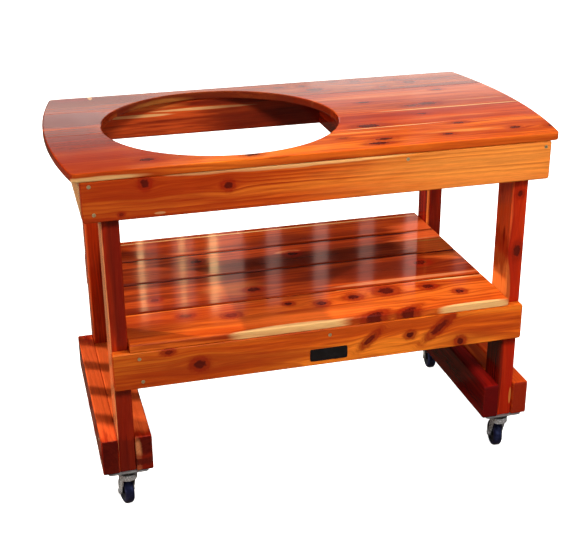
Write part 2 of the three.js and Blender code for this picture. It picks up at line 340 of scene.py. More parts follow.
# Ranges over which a value rises, and the values it runs between where they aren't 0 and 1
RING_RISE = (0.25, 0.9)
RING_FALL = (0.93, 1.0, 1.0, 0.0)
RING_KEENNESS = (0.32, 0.68, 0.12, 1.0)
TONE_RANGE = (0.41, 0.59)
PATCH_RANGE = (0.44, 0.64)
FLECK_RANGE = (0.53, 0.68)
SOFT_RANGE = (0.3, 0.7)
KNOT_CORE = (0.6, 1.05, 1.0, 0.0)
KNOT_RINGS = (0.15, 0.85, 0.78, 1.0)
KNOT_HALO = (0.9, 2.4, 1.0, 0.0)
NIB_RANGE = (0.72, 0.8)
SPOT_RANGE = (0.55, 0.75)

# How growth rings waver and change from year to year
SEED_SLOPE = 0.37
RIPPLE_SHARE = 0.22
YEAR_STEP = 7.31
YEAR_DRIFT = 1.1
TONE_TURNS = 0.31
TONE_DRIFT = 0.8
YEARLY_SHARE = 0.6

# How a knot's outline frays and how it pushes the grain aside
KNOT_FRAY = 1.1
KNOT_RING_COUNT = 2.1
PUSH_REACH = (0.10, 0.16)
PUSH_STEEPNESS = 1.4
PUSH_HEIGHT = 0.9
LENS_FRAY = 0.55

# How much duller a dust nib is and how far it stands out, as shares
NIB_DULLNESS = 0.12
NIB_RISE = 0.3

# Edges that turn by more than this many degrees get a bevel
BEVEL_ANGLE = 28


class Effects:
    """The shared node groups, each built once."""

    def __init__(self) -> None:
        """Builds every group."""
        self.figure = self._figure()
        self.knot = self._knot()
        self.streak = self._streak()
        self.handling = self._handling()
        self.plating = self._plating()

    def _new(self, name: str, inputs: dict[str, float | None],
             outputs: tuple[str, ...]) -> tuple[Graph, dict[str, Socket], bpy.types.Node]:
        """Starts a group.

        Args:
            name: The group's name.
            inputs: Its inputs with their defaults; None stands for a vector.
            outputs: Its outputs, all plain values.

        Returns:
            The graph, the sockets that bring its inputs, by name, and its output node.
        """
        tree = bpy.data.node_groups.new(name, "ShaderNodeTree")
        for label, value in inputs.items():
            kind = "NodeSocketVector" if value is None else "NodeSocketFloat"
            socket = tree.interface.new_socket(label, in_out="INPUT", socket_type=kind)
            if value is not None:
                socket.default_value = value
        for label in outputs:
            tree.interface.new_socket(label, in_out="OUTPUT", socket_type="NodeSocketFloat")
        graph = Graph(tree)
        given = graph.node("NodeGroupInput").outputs
        return graph, {label: given[label] for label in inputs}, graph.node("NodeGroupOutput")

    def _figure(self) -> bpy.types.NodeTree:
        """Growth rings about a slanting pith, their tone, patches, flecks and the fine fibre."""
        g, given, out = self._new(
            "Cedar figure",
            {"Grain": None, "Seed": 0.0, "Ring Width": 0.006, "Pith Across": 0.03,
             "Pith Depth": 0.05, "Tilt": 0.02, "Waver": 0.012},
            ("Latewood", "Tone", "Patch", "Fleck", "Fibre", "Relief"))
        grain, seed, waver = given["Grain"], given["Seed"], given["Waver"]
        shift = g.join(seed, g.mul(seed, SEED_SLOPE), 0.0)
        x, y, z = g.split(grain)
        drift = g.sub(g.noise(g.shifted(grain, DRIFT_SCALE, shift), 1.0), 0.5)
        ripple = g.sub(g.noise(g.shifted(grain, RIPPLE_SCALE, shift), 1.0), 0.5)
        bend = g.add(g.mul(drift, waver), g.mul(ripple, g.mul(waver, RIPPLE_SHARE)))
        across = g.add(g.sub(y, given["Pith Across"]), bend)
        slant = g.mul(x, given["Tilt"])
        deep = g.add(g.sub(z, given["Pith Depth"]), slant)
        reach = g.vector("LENGTH", g.join(across, deep, 0.0))
        turns = g.div(reach, given["Ring Width"])
        phase = g.math("FRACT", turns)
        each = g.join(g.mul(g.math("FLOOR", turns), YEAR_STEP), seed, g.mul(x, YEAR_DRIFT))
        keen = g.step(g.noise(each, 1.0, 1.0), *RING_KEENNESS)
        ring = g.mul(g.step(phase, *RING_RISE), g.step(phase, *RING_FALL))
        late = g.mul(ring, keen)
        years = g.join(g.mul(turns, TONE_TURNS), seed, g.mul(x, TONE_DRIFT))
        broad = g.noise(g.shifted(grain, BROAD_SCALE, shift), 1.0, 3.0)
        tone = g.add(g.mul(g.noise(years, 1.0, 3.0, 0.6), YEARLY_SHARE), g.mul(broad, 1.0 - YEARLY_SHARE))
        patch = g.noise(g.shifted(grain, PATCH_SCALE, shift), 1.0, 3.0, 0.6)
        fleck = g.noise(g.shifted(grain, FLECK_SCALE, shift), 1.0, 2.0, 0.6)
        fibre = g.noise(g.shifted(grain, HAIR_SCALE, shift), 1.0, 3.0, 0.65)
        relief = g.add(g.mul(late, 0.5), g.mul(fibre, 0.5))
        g.wire(out, Latewood=late, Tone=g.step(tone, *TONE_RANGE), Patch=g.step(patch, *PATCH_RANGE),
               Fleck=g.step(fleck, *FLECK_RANGE), Fibre=g.step(fibre, *SOFT_RANGE), Relief=relief)
        return g.tree

    def _knot(self) -> bpy.types.NodeTree:
        """A knot's core, its halo, and how far it pushes the grain aside."""
        g, given, out = self._new(
            "Cedar knot",
            {"Grain": None, "Along": 0.0, "Across": 0.0, "Radius": 0.01, "Stretch": 1.25,
             "Slant": 0.0, "Core Strength": 0.9, "Halo Strength": 0.45},
            ("Core", "Halo", "Push"))
        grain, radius = given["Grain"], given["Radius"]
        x, y, _ = g.split(grain)
        aside = g.sub(x, given["Along"])
        climb = g.mul(aside, given["Slant"])
        dx = g.div(aside, g.mul(radius, given["Stretch"]))
        dy = g.div(g.sub(g.sub(y, given["Across"]), climb), radius)
        fray = g.sub(g.noise(grain, KNOT_SCALE, 3.0, 0.6), 0.5)
        reach = g.add(g.vector("LENGTH", g.join(dx, dy, 0.0)), g.mul(fray, KNOT_FRAY))
        core = g.mul(g.step(reach, *KNOT_CORE), given["Core Strength"])
        wave = g.math("PINGPONG", g.mul(reach, KNOT_RING_COUNT), 1.0)
        halo = g.mul(g.step(reach, *KNOT_HALO), given["Halo Strength"])
        halo = g.mul(halo, g.step(wave, *KNOT_RINGS))
        far = g.add(g.mul(g.mul(dx, dx), PUSH_REACH[0]), g.mul(g.mul(dy, dy), PUSH_REACH[1]))
        fade = g.math("EXPONENT", g.mul(far, -1.0))
        turn = g.math("ARCTANGENT", g.mul(dy, PUSH_STEEPNESS))
        push = g.mul(g.mul(turn, fade), g.mul(radius, PUSH_HEIGHT))
        g.wire(out, Core=core, Halo=halo, Push=push)
        return g.tree

    def _streak(self) -> bpy.types.NodeTree:
        """A wavy-edged lens that lies along the grain."""
        g, given, out = self._new(
            "Cedar streak",
            {"Grain": None, "Along": 0.0, "Across": 0.0, "Through": 0.0, "Half Length": 0.1,
             "Half Width": 0.01, "Half Depth": 9.0, "Edge": 0.3, "Strength": 0.9},
            ("Mask",))
        parts = []
        for value, middle, half in zip(g.split(given["Grain"]), ("Along", "Across", "Through"),
                                       ("Half Length", "Half Width", "Half Depth")):
            parts.append(g.div(g.sub(value, given[middle]), given[half]))
        wave = g.noise(g.vector("MULTIPLY", given["Grain"], LENS_SCALE), 1.0, 3.0, 0.6)
        reach = g.add(g.vector("LENGTH", g.join(*parts)), g.mul(g.sub(wave, 0.5), LENS_FRAY))
        mask = g.step(reach, g.sub(1.0, given["Edge"]), 1.0, 1.0, 0.0)
        g.wire(out, Mask=g.mul(mask, given["Strength"]))
        return g.tree

    def _handling(self) -> bpy.types.NodeTree:
        """Varnish sheen that varies in patches, with brush marks and fine dust nibs."""
        g, given, out = self._new(
            "Varnish handling", {"Grain": None, "Base": 0.25, "Spread": 0.08}, ("Sheen", "Brush"))
        grain = given["Grain"]
        cloud = g.noise(grain, SHEEN_SCALE, 4.0, 0.6)
        brushed = g.noise(g.vector("MULTIPLY", grain, BRUSH_SCALE), 1.0)
        nibs = g.step(g.noise(grain, NIB_SCALE, 1.0), *NIB_RANGE)
        spread = g.mul(g.sub(cloud, 0.5), given["Spread"])
        sheen = g.add(given["Base"], g.mul(spread, 2.0))
        g.wire(out, Sheen=g.add(sheen, g.mul(nibs, NIB_DULLNESS)),
               Brush=g.add(brushed, g.mul(nibs, NIB_RISE)))
        return g.tree

    def _plating(self) -> bpy.types.NodeTree:
        """Zinc plate: cloudy tone, fine scratches and dulled spots."""
        g, given, out = self._new("Zinc plating", {"Place": None, "Wear": 0.4},
                                  ("Tone", "Dull", "Scratch"))
        place = given["Place"]
        cloud = g.noise(place, ZINC_SCALE, 4.0, 0.6)
        fine = g.noise(g.vector("MULTIPLY", place, SCRATCH_SCALE), 1.0)
        spots = g.step(g.noise(place, SPOT_SCALE, 3.0), *SPOT_RANGE)
        g.wire(out, Tone=g.step(cloud, *SOFT_RANGE), Scratch=fine, Dull=g.mul(spots, given["Wear"]))
        return g.tree


def principled(name: str) -> tuple[bpy.types.Material, Graph, bpy.types.Node]:
    """Makes a material with a Principled BSDF.

    Args:
        name: The material's name.

    Returns:
        The material, the graph of its tree and its shader.
    """
    material = bpy.data.materials.new(name)
    material.use_nodes = True
    shader = next(n for n in material.node_tree.nodes if n.type == "BSDF_PRINCIPLED")
    return material, Graph(material.node_tree), shader


@dataclass(frozen=True)
class CedarFinish:
    """Varnished aromatic cedar on one board.

    Attributes:
        light: Palest heartwood, linear.
        middle: Common heartwood.
        dark: Latewood and dark bands.
        seed: Where in the tree the board was cut.
        ring_width: Distance between growth rings, in metres.
        pith_across: The pith's place across the board.
        pith_depth: The pith's place through the board.
        tilt: The pith's slant along the board.
        waver: How far the rings waver, in metres.
        rings: Strength of the latewood lines.
        flecks: Strength of the short dark flecks along the grain.
        patches: Strength of the dark patches.
        gloss: Roughness of the varnish.
        relief: Depth of the pores and brush marks, in metres.
        edges: How much darker the sawn edges are than the broad faces, as painted shade on the top's rims,
            in its cut-out and in the shelf's gaps.
        knots: The board's knots.
        streaks: The board's sapwood and other streaks, some of them painted light and painted shade.
        cut_end: Range of the grain's tilt to the face, and how dark the cut end gets.
        broad_face: Range of the face's turn over which it counts as a broad one.
        fibre_shade: Darkest and lightest shade of the fibre.
        ior: Refraction of the varnish.
        spread: How much its roughness changes from place to place.
        bump: Strength of the relief.
        brush: Share of the brush marks in the relief.
        streak_rings: How far the latewood shows in the streaks.
    """

    light: Colour
    middle: Colour
    dark: Colour
    seed: float
    ring_width: float = 0.007
    pith_across: float = 0.0
    pith_depth: float = -0.06
    tilt: float = 0.03
    waver: float = 0.02
    rings: float = 0.4
    flecks: float = 0.5
    patches: float = 0.62
    gloss: float = 0.10
    relief: float = 0.00005
    edges: float = 0.0
    knots: tuple[Knot, ...] = ()
    streaks: tuple[Streak, ...] = ()
    cut_end: tuple[float, ...] = (0.5, 0.85, 0.0, 0.9)
    broad_face: Span = (0.4, 0.8)
    fibre_shade: Span = (0.9, 1.06)
    ior: float = 1.42
    spread: float = 0.05
    bump: float = 0.35
    brush: float = 0.4
    streak_rings: float = 0.25

    def material(self, name: str, lay: Lay, effects: Effects) -> bpy.types.Material:
        """Builds the board's material.

        Args:
            name: The board's name.
            lay: How its grain runs.
            effects: The shared node groups.

        Returns:
            The material.
        """
        material, g, shader = principled(f"cedar_{name}")
        axes = dict(zip("XYZ", g.split(g.place())))
        grain = g.join(*(axes[axis] for axis in lay.value))
        knots = [g.group(effects.knot, Grain=grain, Along=k.along, Across=k.across,
                         Radius=k.radius, Stretch=k.stretch, Slant=k.slant,
                         Core_Strength=k.core, Halo_Strength=k.halo) for k in self.knots]
        flow = grain
        if knots:
            push = knots[0].outputs["Push"]
            for knot in knots[1:]:
                push = g.add(push, knot.outputs["Push"])
            flow = g.vector("SUBTRACT", grain, g.join(0.0, push, 0.0))
        figure = g.group(effects.figure, Grain=flow, Seed=self.seed, Ring_Width=self.ring_width,
                         Pith_Across=self.pith_across, Pith_Depth=self.pith_depth,
                         Tilt=self.tilt, Waver=self.waver).outputs
        colour = g.mix(figure["Tone"], self.light, self.middle)
        for output, share in (("Patch", self.patches), ("Fleck", self.flecks), ("Latewood", self.rings)):
            colour = g.mix(g.mul(figure[output], share), colour, self.dark)
        facing = dict(zip("XYZ", g.split(g.place("Normal"))))
        cut_end = g.step(g.math("ABSOLUTE", facing[lay.value[0]]), *self.cut_end)
        colour = g.mix(cut_end, colour, self.dark)
        for streak in self.streaks:
            colour = self.streaked(g, streak, colour, flow, figure["Latewood"], effects)
        for knot in knots:
            colour = g.mix(knot.outputs["Halo"], colour, Tone.RED.value)
            colour = g.mix(knot.outputs["Core"], colour, Tone.BROWN.value)
        # Painted shade: the sawn edges darken towards brown by the edges setting
        broad = g.step(g.math("ABSOLUTE", facing[lay.value[2]]), *self.broad_face, self.edges, 0.0)
        colour = g.mix(broad, colour, Tone.BROWN.value)
        fibre = g.step(figure["Fibre"], 0.0, 1.0, *self.fibre_shade)
        colour = g.mix(1.0, colour, g.join(fibre, fibre, fibre), "MULTIPLY")
        varnish = g.group(effects.handling, Grain=grain, Base=self.gloss, Spread=self.spread).outputs
        height = g.add(figure["Relief"], g.mul(varnish["Brush"], self.brush))
        g.wire(shader, Base_Color=colour, Roughness=varnish["Sheen"], IOR=self.ior,
               Normal=g.bump(height, self.bump, self.relief))
        return material

    def streaked(self, g: Graph, streak: Streak, colour: Socket, flow: Socket, latewood: Socket,
                 effects: Effects) -> Socket:
        """Lays one streak over the board's colour.

        Args:
            g: The material's graph.
            streak: The streak.
            colour: The colour so far.
            flow: The place along, across and through the grain, pushed aside by the knots.
            latewood: Mask of the latewood, which shows faintly in the streak.
            effects: The shared node groups.

        Returns:
            The new colour.
        """
        lens = g.group(effects.streak, Grain=flow, Along=streak.along, Across=streak.across,
                       Half_Length=streak.half_length, Half_Width=streak.half_width,
                       Edge=streak.edge, Strength=streak.strength)
        if streak.through is not None:
            g.wire(lens, Through=streak.through, Half_Depth=streak.half_depth)
        tinted = g.mix(g.mul(latewood, self.streak_rings), streak.tone.value, self.middle)
        return g.mix(lens.outputs["Mask"], colour, tinted)


@dataclass(frozen=True)
class MetalFinish:
    """Plated steel.

    Attributes:
        light: Its pale tone, linear.
        dark: Its dull tone.
        roughness: Roughness of the bright plate.
        wear: How much duller its worn spots are.
        metallic: How far it mirrors as bare metal does.
        scratches: Strength of the fine scratches.
        depth: Their depth, in metres.
    """

    light: Colour
    dark: Colour
    roughness: float
    wear: float = 0.35
    metallic: float = 0.6
    scratches: float = 0.12
    depth: float = 0.0002

    def material(self, name: str, effects: Effects) -> bpy.types.Material:
        """Builds the metal.

        Args:
            name: The material's name.
            effects: The shared node groups.

        Returns:
            The material.
        """
        material, g, shader = principled(name)
        plate = g.group(effects.plating, Place=g.place(), Wear=self.wear).outputs
        g.wire(shader, Base_Color=g.mix(plate["Tone"], self.light, self.dark), Metallic=self.metallic,
               Roughness=g.add(plate["Dull"], self.roughness),
               Normal=g.bump(plate["Scratch"], self.scratches, self.depth))
        return material


@dataclass(frozen=True)
class MouldedFinish:
    """Moulded plastic or rubber.

    Attributes:
        light: Its dusty tone, linear; on the tyre it is a painted bluish reflection.
        dark: Its clean tone; on the tyre it is tinted blue as a painted reflection.
        roughness: Roughness of the clean surface.
        spread: How much the roughness changes from place to place.
        dust_and_sheen_scale: Frequency of the dusty patches, which on the tyre are painted reflection, per
            metre.
        dust_and_sheen_range: Range of the noise over which the dust shows, and on the tyre the painted
            reflection.
        grain_scale: Frequency of the moulded grain, per metre.
        grain: Its strength.
        depth: Its depth, in metres.
    """

    light: Colour
    dark: Colour
    roughness: float
    spread: float = 0.1
    dust_and_sheen_scale: float = 90.0
    dust_and_sheen_range: Span = (0.45, 0.8)
    grain_scale: float = 1400.0
    grain: float = 0.2
    depth: float = 0.0002

    def material(self, name: str, effects: Effects) -> bpy.types.Material:
        """Builds the moulded material.

        Args:
            name: The material's name.
            effects: The shared node groups.

        Returns:
            The material.
        """
        material, g, shader = principled(name)
        place = g.place()
        dusty = g.group(effects.handling, Grain=place, Base=self.roughness, Spread=self.spread)
        cloud = g.step(g.noise(place, self.dust_and_sheen_scale, 4.0, 0.6), *self.dust_and_sheen_range)
        g.wire(shader, Base_Color=g.mix(cloud, self.dark, self.light),
               Roughness=dusty.outputs["Sheen"],
               Normal=g.bump(g.noise(place, self.grain_scale), self.grain, self.depth))
        return material


def dress(node: str, material: bpy.types.Material, round_edge: float = 0.0008) -> None:
    """Gives a CAD node its material and softens its edges with a bevel.

    Args:
        node: The node's name.
        material: Its material.
        round_edge: Width of the bevel, in metres, or 0 for none.
    """
    piece = frame["nodes"][node]
    if not piece.material_slots:
        raise ValueError(f"{node} has no material slot")
    for slot in piece.material_slots:
        slot.link = "OBJECT"
        slot.material = material
    if round_edge:
        bevel = piece.modifiers.new("soft_edges", "BEVEL")
        bevel.width = round_edge
        bevel.segments = 2
        bevel.limit_method = "ANGLE"
        bevel.angle_limit = math.radians(BEVEL_ANGLE)
        bevel.harden_normals = False
    LOG.info("dressed %s", node)


def circle(radius: float, count: int, start: float = 0.0) -> list[Point]:
    """Points on a circle about the origin.

    Args:
        radius: Its radius.
        count: How many points.
        start: Angle of the first one, in radians.

    Returns:
        The points in order.
    """
    return [(radius * math.cos(start + 2 * math.pi * i / count),
             radius * math.sin(start + 2 * math.pi * i / count)) for i in range(count)]


def arc(middle: Point, radius: float, start: float, sweep: float, steps: int) -> list[Point]:
    """Points on an arc.

    Args:
        middle: Its middle.
        radius: Its radius.
        start: Its first angle, in radians.
        sweep: How far it turns.
        steps: How many parts it has.

    Returns:
        The points in order, both ends included.
    """
    return [(middle[0] + radius * math.cos(start + sweep * i / steps),
             middle[1] + radius * math.sin(start + sweep * i / steps)) for i in range(steps + 1)]


class Maker:
    """Makes mesh pieces from profiles, in metres."""

    @staticmethod
    def add(name: str, mesh: bmesh.types.BMesh, material: bpy.types.Material) -> bpy.types.Object:
        """Turns a bmesh, which is freed, into an object of the scene."""
        data = bpy.data.meshes.new(name)
        mesh.to_mesh(data)
        mesh.free()
        data.materials.append(material)
        made = bpy.data.objects.new(name, data)
        bpy.context.scene.collection.objects.link(made)
        return made

    @staticmethod
    def piece(name: str, mesh: bmesh.types.BMesh, material: bpy.types.Material, body: str,
              smooth: float = 35.0) -> bpy.types.Object:
        """Turns a bmesh into a piece that rides on a body.

        Args:
            name: The piece's name.
            mesh: Its geometry, which is freed.
            material: Its material.
            body: The body it rides on.
            smooth: Angle in degrees under which edges look smooth.

        Returns:
            The piece.
        """
        bmesh.ops.recalc_face_normals(mesh, faces=mesh.faces)
        for edge in mesh.edges:
            edge.smooth = edge.calc_face_angle(math.pi) < math.radians(smooth)
        for face in mesh.faces:
            face.smooth = True
        made = Maker.add(name, mesh, material)
        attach(made, body)
        LOG.info("made %s", name)
        return made

    @staticmethod
    def bridge(mesh: bmesh.types.BMesh, low: list[bmesh.types.BMVert],
               high: list[bmesh.types.BMVert]) -> None:
        """Joins two loops of equal length, or a loop and a single point, with faces."""
        count = max(len(low), len(high))
        if count == 1:
            return
        for i in range(count):
            j = (i + 1) % count
            if len(low) == 1:
                mesh.faces.new((low[0], high[j], high[i]))
            elif len(high) == 1:
                mesh.faces.new((low[i], low[j], high[0]))
            else:
                mesh.faces.new((low[i], low[j], high[j], high[i]))

    @staticmethod
    def lathe(profile: list[Point], segments: int, place: Matrix) -> bmesh.types.BMesh:
        """Revolves a profile about Z.

        Args:
            profile: Radius and height pairs; a first and last radius of 0 close it on the axis.
            segments: Number of facets round it.
            place: Where the result goes.

        Returns:
            The closed form.
        """
        mesh = bmesh.new()
        rings = []
        for radius, height in profile:
            spots = circle(radius, segments) if radius > 0 else [(0, 0)]
            rings.append([mesh.verts.new((x, y, height)) for x, y in spots])
        closed = profile[0][0] > 0
        for low, high in list(zip(rings, rings[1:])) + ([(rings[-1], rings[0])] if closed else []):
            Maker.bridge(mesh, low, high)
        mesh.transform(place)
        return mesh

    @staticmethod
    def slab(outline: list[Point], low: float, high: float, bevel: float,
             place: Matrix) -> bmesh.types.BMesh:
        """Extrudes an outline along Z with softened rims.

        Args:
            outline: Corners in order.
            low: Lower height.
            high: Upper height.
            bevel: Width of the softened rim.
            place: Where the result goes.

        Returns:
            The closed form.
        """
        mesh = bmesh.new()
        bottom = [mesh.verts.new((x, y, low)) for x, y in outline]
        top = [mesh.verts.new((x, y, high)) for x, y in outline]
        mesh.faces.new(bottom[::-1])
        mesh.faces.new(top)
        Maker.bridge(mesh, bottom, top)
        if bevel:
            rims = [e for e in mesh.edges if math.isclose(e.verts[0].co.z, e.verts[1].co.z)]
            bmesh.ops.bevel(mesh, geom=rims, offset=bevel, segments=2, affect="EDGES", profile=0.5)
        mesh.transform(place)
        return mesh

    @staticmethod
    def rounded(width: float, height: float, radius: float, steps: int = 5) -> list[Point]:
        """Corners of a rounded rectangle about the origin.

        Args:
            width: Full width.
            height: Full height.
            radius: Corner radius.
            steps: Facets in each corner.

        Returns:
            The corners in order.
        """
        points = []
        for k, (sx, sy) in enumerate(((1, -1), (1, 1), (-1, 1), (-1, -1))):
            middle = (sx * (width / 2 - radius), sy * (height / 2 - radius))
            points += arc(middle, radius, (k - 1) * math.pi / 2, math.pi / 2, steps)
        return points


# Common red heartwood: its pale, common and dark wood
RED_LIGHT = srgb(198, 56, 15)
RED_MIDDLE = srgb(160, 30, 9)
RED_DARK = srgb(90, 9, 6)

# Middle height and half depth of what lies under the top's face: the cut-out's wall and the rims
WALL_MIDDLE = 0.815
WALL_HALF = 0.012


def red_cedar(seed: float, **changes: object) -> CedarFinish:
    """Common red heartwood.

    Args:
        seed: Where in the tree the board was cut.
        changes: Other settings of the board.

    Returns:
        The finish.
    """
    return CedarFinish(RED_LIGHT, RED_MIDDLE, RED_DARK, seed, **changes)


def wall_streak(along: float, across: float, half_length: float, half_width: float, tone: Tone,
                strength: float, edge: float) -> Streak:
    """A streak of a top board that shows in the cut-out's wall and on the rims only.

    Args:
        along: Its middle along the grain.
        across: Its middle across the grain.
        half_length: Half its length.
        half_width: Half its width.
        tone: Its colour.
        strength: How strongly it covers, from 0 to 1.
        edge: Share of its radius over which it fades.

    Returns:
        The streak.
    """
    return Streak(along, across, half_length, half_width, tone, strength,
                  through=WALL_MIDDLE, half_depth=WALL_HALF, edge=edge)


# The top, from the front
TOP_BOARDS: tuple[CedarFinish, ...] = (
    CedarFinish(
        srgb(242, 120, 32), srgb(218, 90, 22), srgb(156, 46, 12), 11.0, pith_across=-0.27,
        # edges is painted shade on the sawn edges
        pith_depth=0.86, rings=0.6, edges=0.25,
        knots=(
            Knot(-0.374, -0.250, 0.010, 1.8, 0.85), Knot(-0.158, -0.277, 0.012, 1.6, 0.85),
            Knot(0.124, -0.274, 0.011, 2.2, 0.85), Knot(0.146, -0.247, 0.009, 2.6, 0.85),
            Knot(0.294, -0.250, 0.008, 1.8, 0.85), Knot(0.458, -0.242, 0.010, 1.6, 0.85),
            Knot(0.352, -0.172, 0.008, 2.4, 0.6), Knot(0.545, -0.252, 0.010, 1.4, 0.6),
            Knot(0.06, -0.218, 0.007, 2.6, 0.5)),
        streaks=(
            # Painted shade, darker towards the left end
            Streak(-0.47, -0.22, 0.32, 0.13, Tone.RED, 0.8, edge=0.6),
            Streak(-0.49, -0.3075, 0.12, 0.012, Tone.SAPWOOD, 0.95,
                   through=0.816, half_depth=0.007, edge=0.5),
            Streak(0.34, -0.235, 0.12, 0.014, Tone.GOLD, 0.55, edge=0.8),
            Streak(0.10, -0.185, 0.16, 0.008, Tone.GOLD, 0.5, edge=0.8),
            Streak(0.25, -0.1575, 0.17, 0.004, Tone.SAPWOOD, 0.9))),
    CedarFinish(
        srgb(214, 84, 22), srgb(186, 58, 14), srgb(148, 38, 11), 23.0, pith_across=-0.09, pith_depth=0.88,
        # edges is painted shade on the sawn edges
        rings=0.7, edges=0.45,
        knots=(Knot(0.146, -0.140, 0.015, 2.0, 0.85), Knot(0.30, -0.075, 0.006, 2.6, 0.5)),
        streaks=(
            Streak(0.40, -0.0335, 0.24, 0.0045, Tone.SAPWOOD, 0.8),
            Streak(0.36, -0.115, 0.18, 0.010, Tone.AMBER, 0.6, edge=0.8),
            # Painted shade, darker towards the left end
            Streak(-0.50, -0.08, 0.18, 0.12, Tone.UMBER, 0.65, edge=0.6))),
    CedarFinish(
        srgb(212, 92, 28), srgb(184, 64, 18), srgb(146, 44, 13), 31.0, pith_across=0.03, pith_depth=0.87,
        # edges is painted shade on the sawn edges
        rings=0.7, edges=0.45,
        knots=(Knot(0.348, 0.008, 0.013, 1.9, 0.7), Knot(0.30, 0.0, 0.008, 2.2, 0.5)),
        streaks=(
            Streak(0.47, 0.020, 0.10, 0.006, Tone.PALE, 0.6),
            # Painted shade, darker towards the left end
            Streak(-0.52, 0.0, 0.14, 0.10, Tone.UMBER, 0.75, edge=0.6))),
    CedarFinish(
        srgb(208, 92, 32), srgb(180, 62, 20), srgb(144, 48, 17), 43.0, pith_across=0.10, pith_depth=0.89,
        # edges is painted shade on the sawn edges
        rings=0.7, edges=0.6,
        knots=(Knot(0.20, 0.06, 0.007, 2.4, 0.6), Knot(0.42, 0.13, 0.008, 2.2, 0.5)),
        streaks=(
            # Painted shade in the cut-out's wall and on the rims; the amber patch is partly the wood's own
            # tone and partly painted light
            wall_streak(0.0, 0.10, 0.8, 0.20, Tone.BROWN, 0.45, 0.1),
            wall_streak(-0.36, 0.14, 0.08, 0.06, Tone.AMBER, 0.6, 0.6),
            Streak(0.30, 0.11, 0.25, 0.012, Tone.PALE, 0.35),
            # Painted shade, darker towards the left end
            Streak(-0.50, 0.10, 0.18, 0.10, Tone.UMBER, 0.8, edge=0.6))),
    CedarFinish(
        srgb(182, 84, 34), srgb(154, 58, 22), srgb(124, 44, 18), 57.0, pith_across=0.24, pith_depth=0.87,
        # edges is painted shade on the sawn edges
        rings=0.7, edges=0.6,
        knots=(
            Knot(0.124, 0.216, 0.018, 1.5, 0.7), Knot(0.244, 0.268, 0.012, 1.6, 0.6),
            Knot(0.380, 0.226, 0.014, 1.5, 0.6), Knot(0.04, 0.262, 0.008, 2.0, 0.6),
            Knot(0.30, 0.20, 0.007, 2.0, 0.5), Knot(0.19, 0.285, 0.009, 1.4, 0.6),
            Knot(0.10, 0.262, 0.008, 1.4, 0.6), Knot(0.35, 0.262, 0.007, 1.6, 0.5)),
        streaks=(
            # Painted shade in the cut-out's wall and on the rims; the gold patch is partly the wood's own
            # tone and partly painted light
            wall_streak(0.0, 0.24, 0.8, 0.30, Tone.BROWN, 0.3, 0.1),
            wall_streak(-0.27, 0.24, 0.11, 0.12, Tone.GOLD, 0.75, 0.6),
            # Painted shade, darker towards the left end
            Streak(-0.45, 0.25, 0.26, 0.08, Tone.UMBER, 0.6, edge=0.7),
            Streak(-0.475, 0.287, 0.055, 0.022, Tone.RED, 0.9, edge=0.3),
            Streak(-0.437, 0.30, 0.006, 0.03, Tone.SAPWOOD, 0.7))),
)

# The darker underside of the left rim, on every top board
LEFT_RIM = wall_streak(-0.57, 0.0, 0.05, 0.5, Tone.BROWN, 0.6, 0.1)

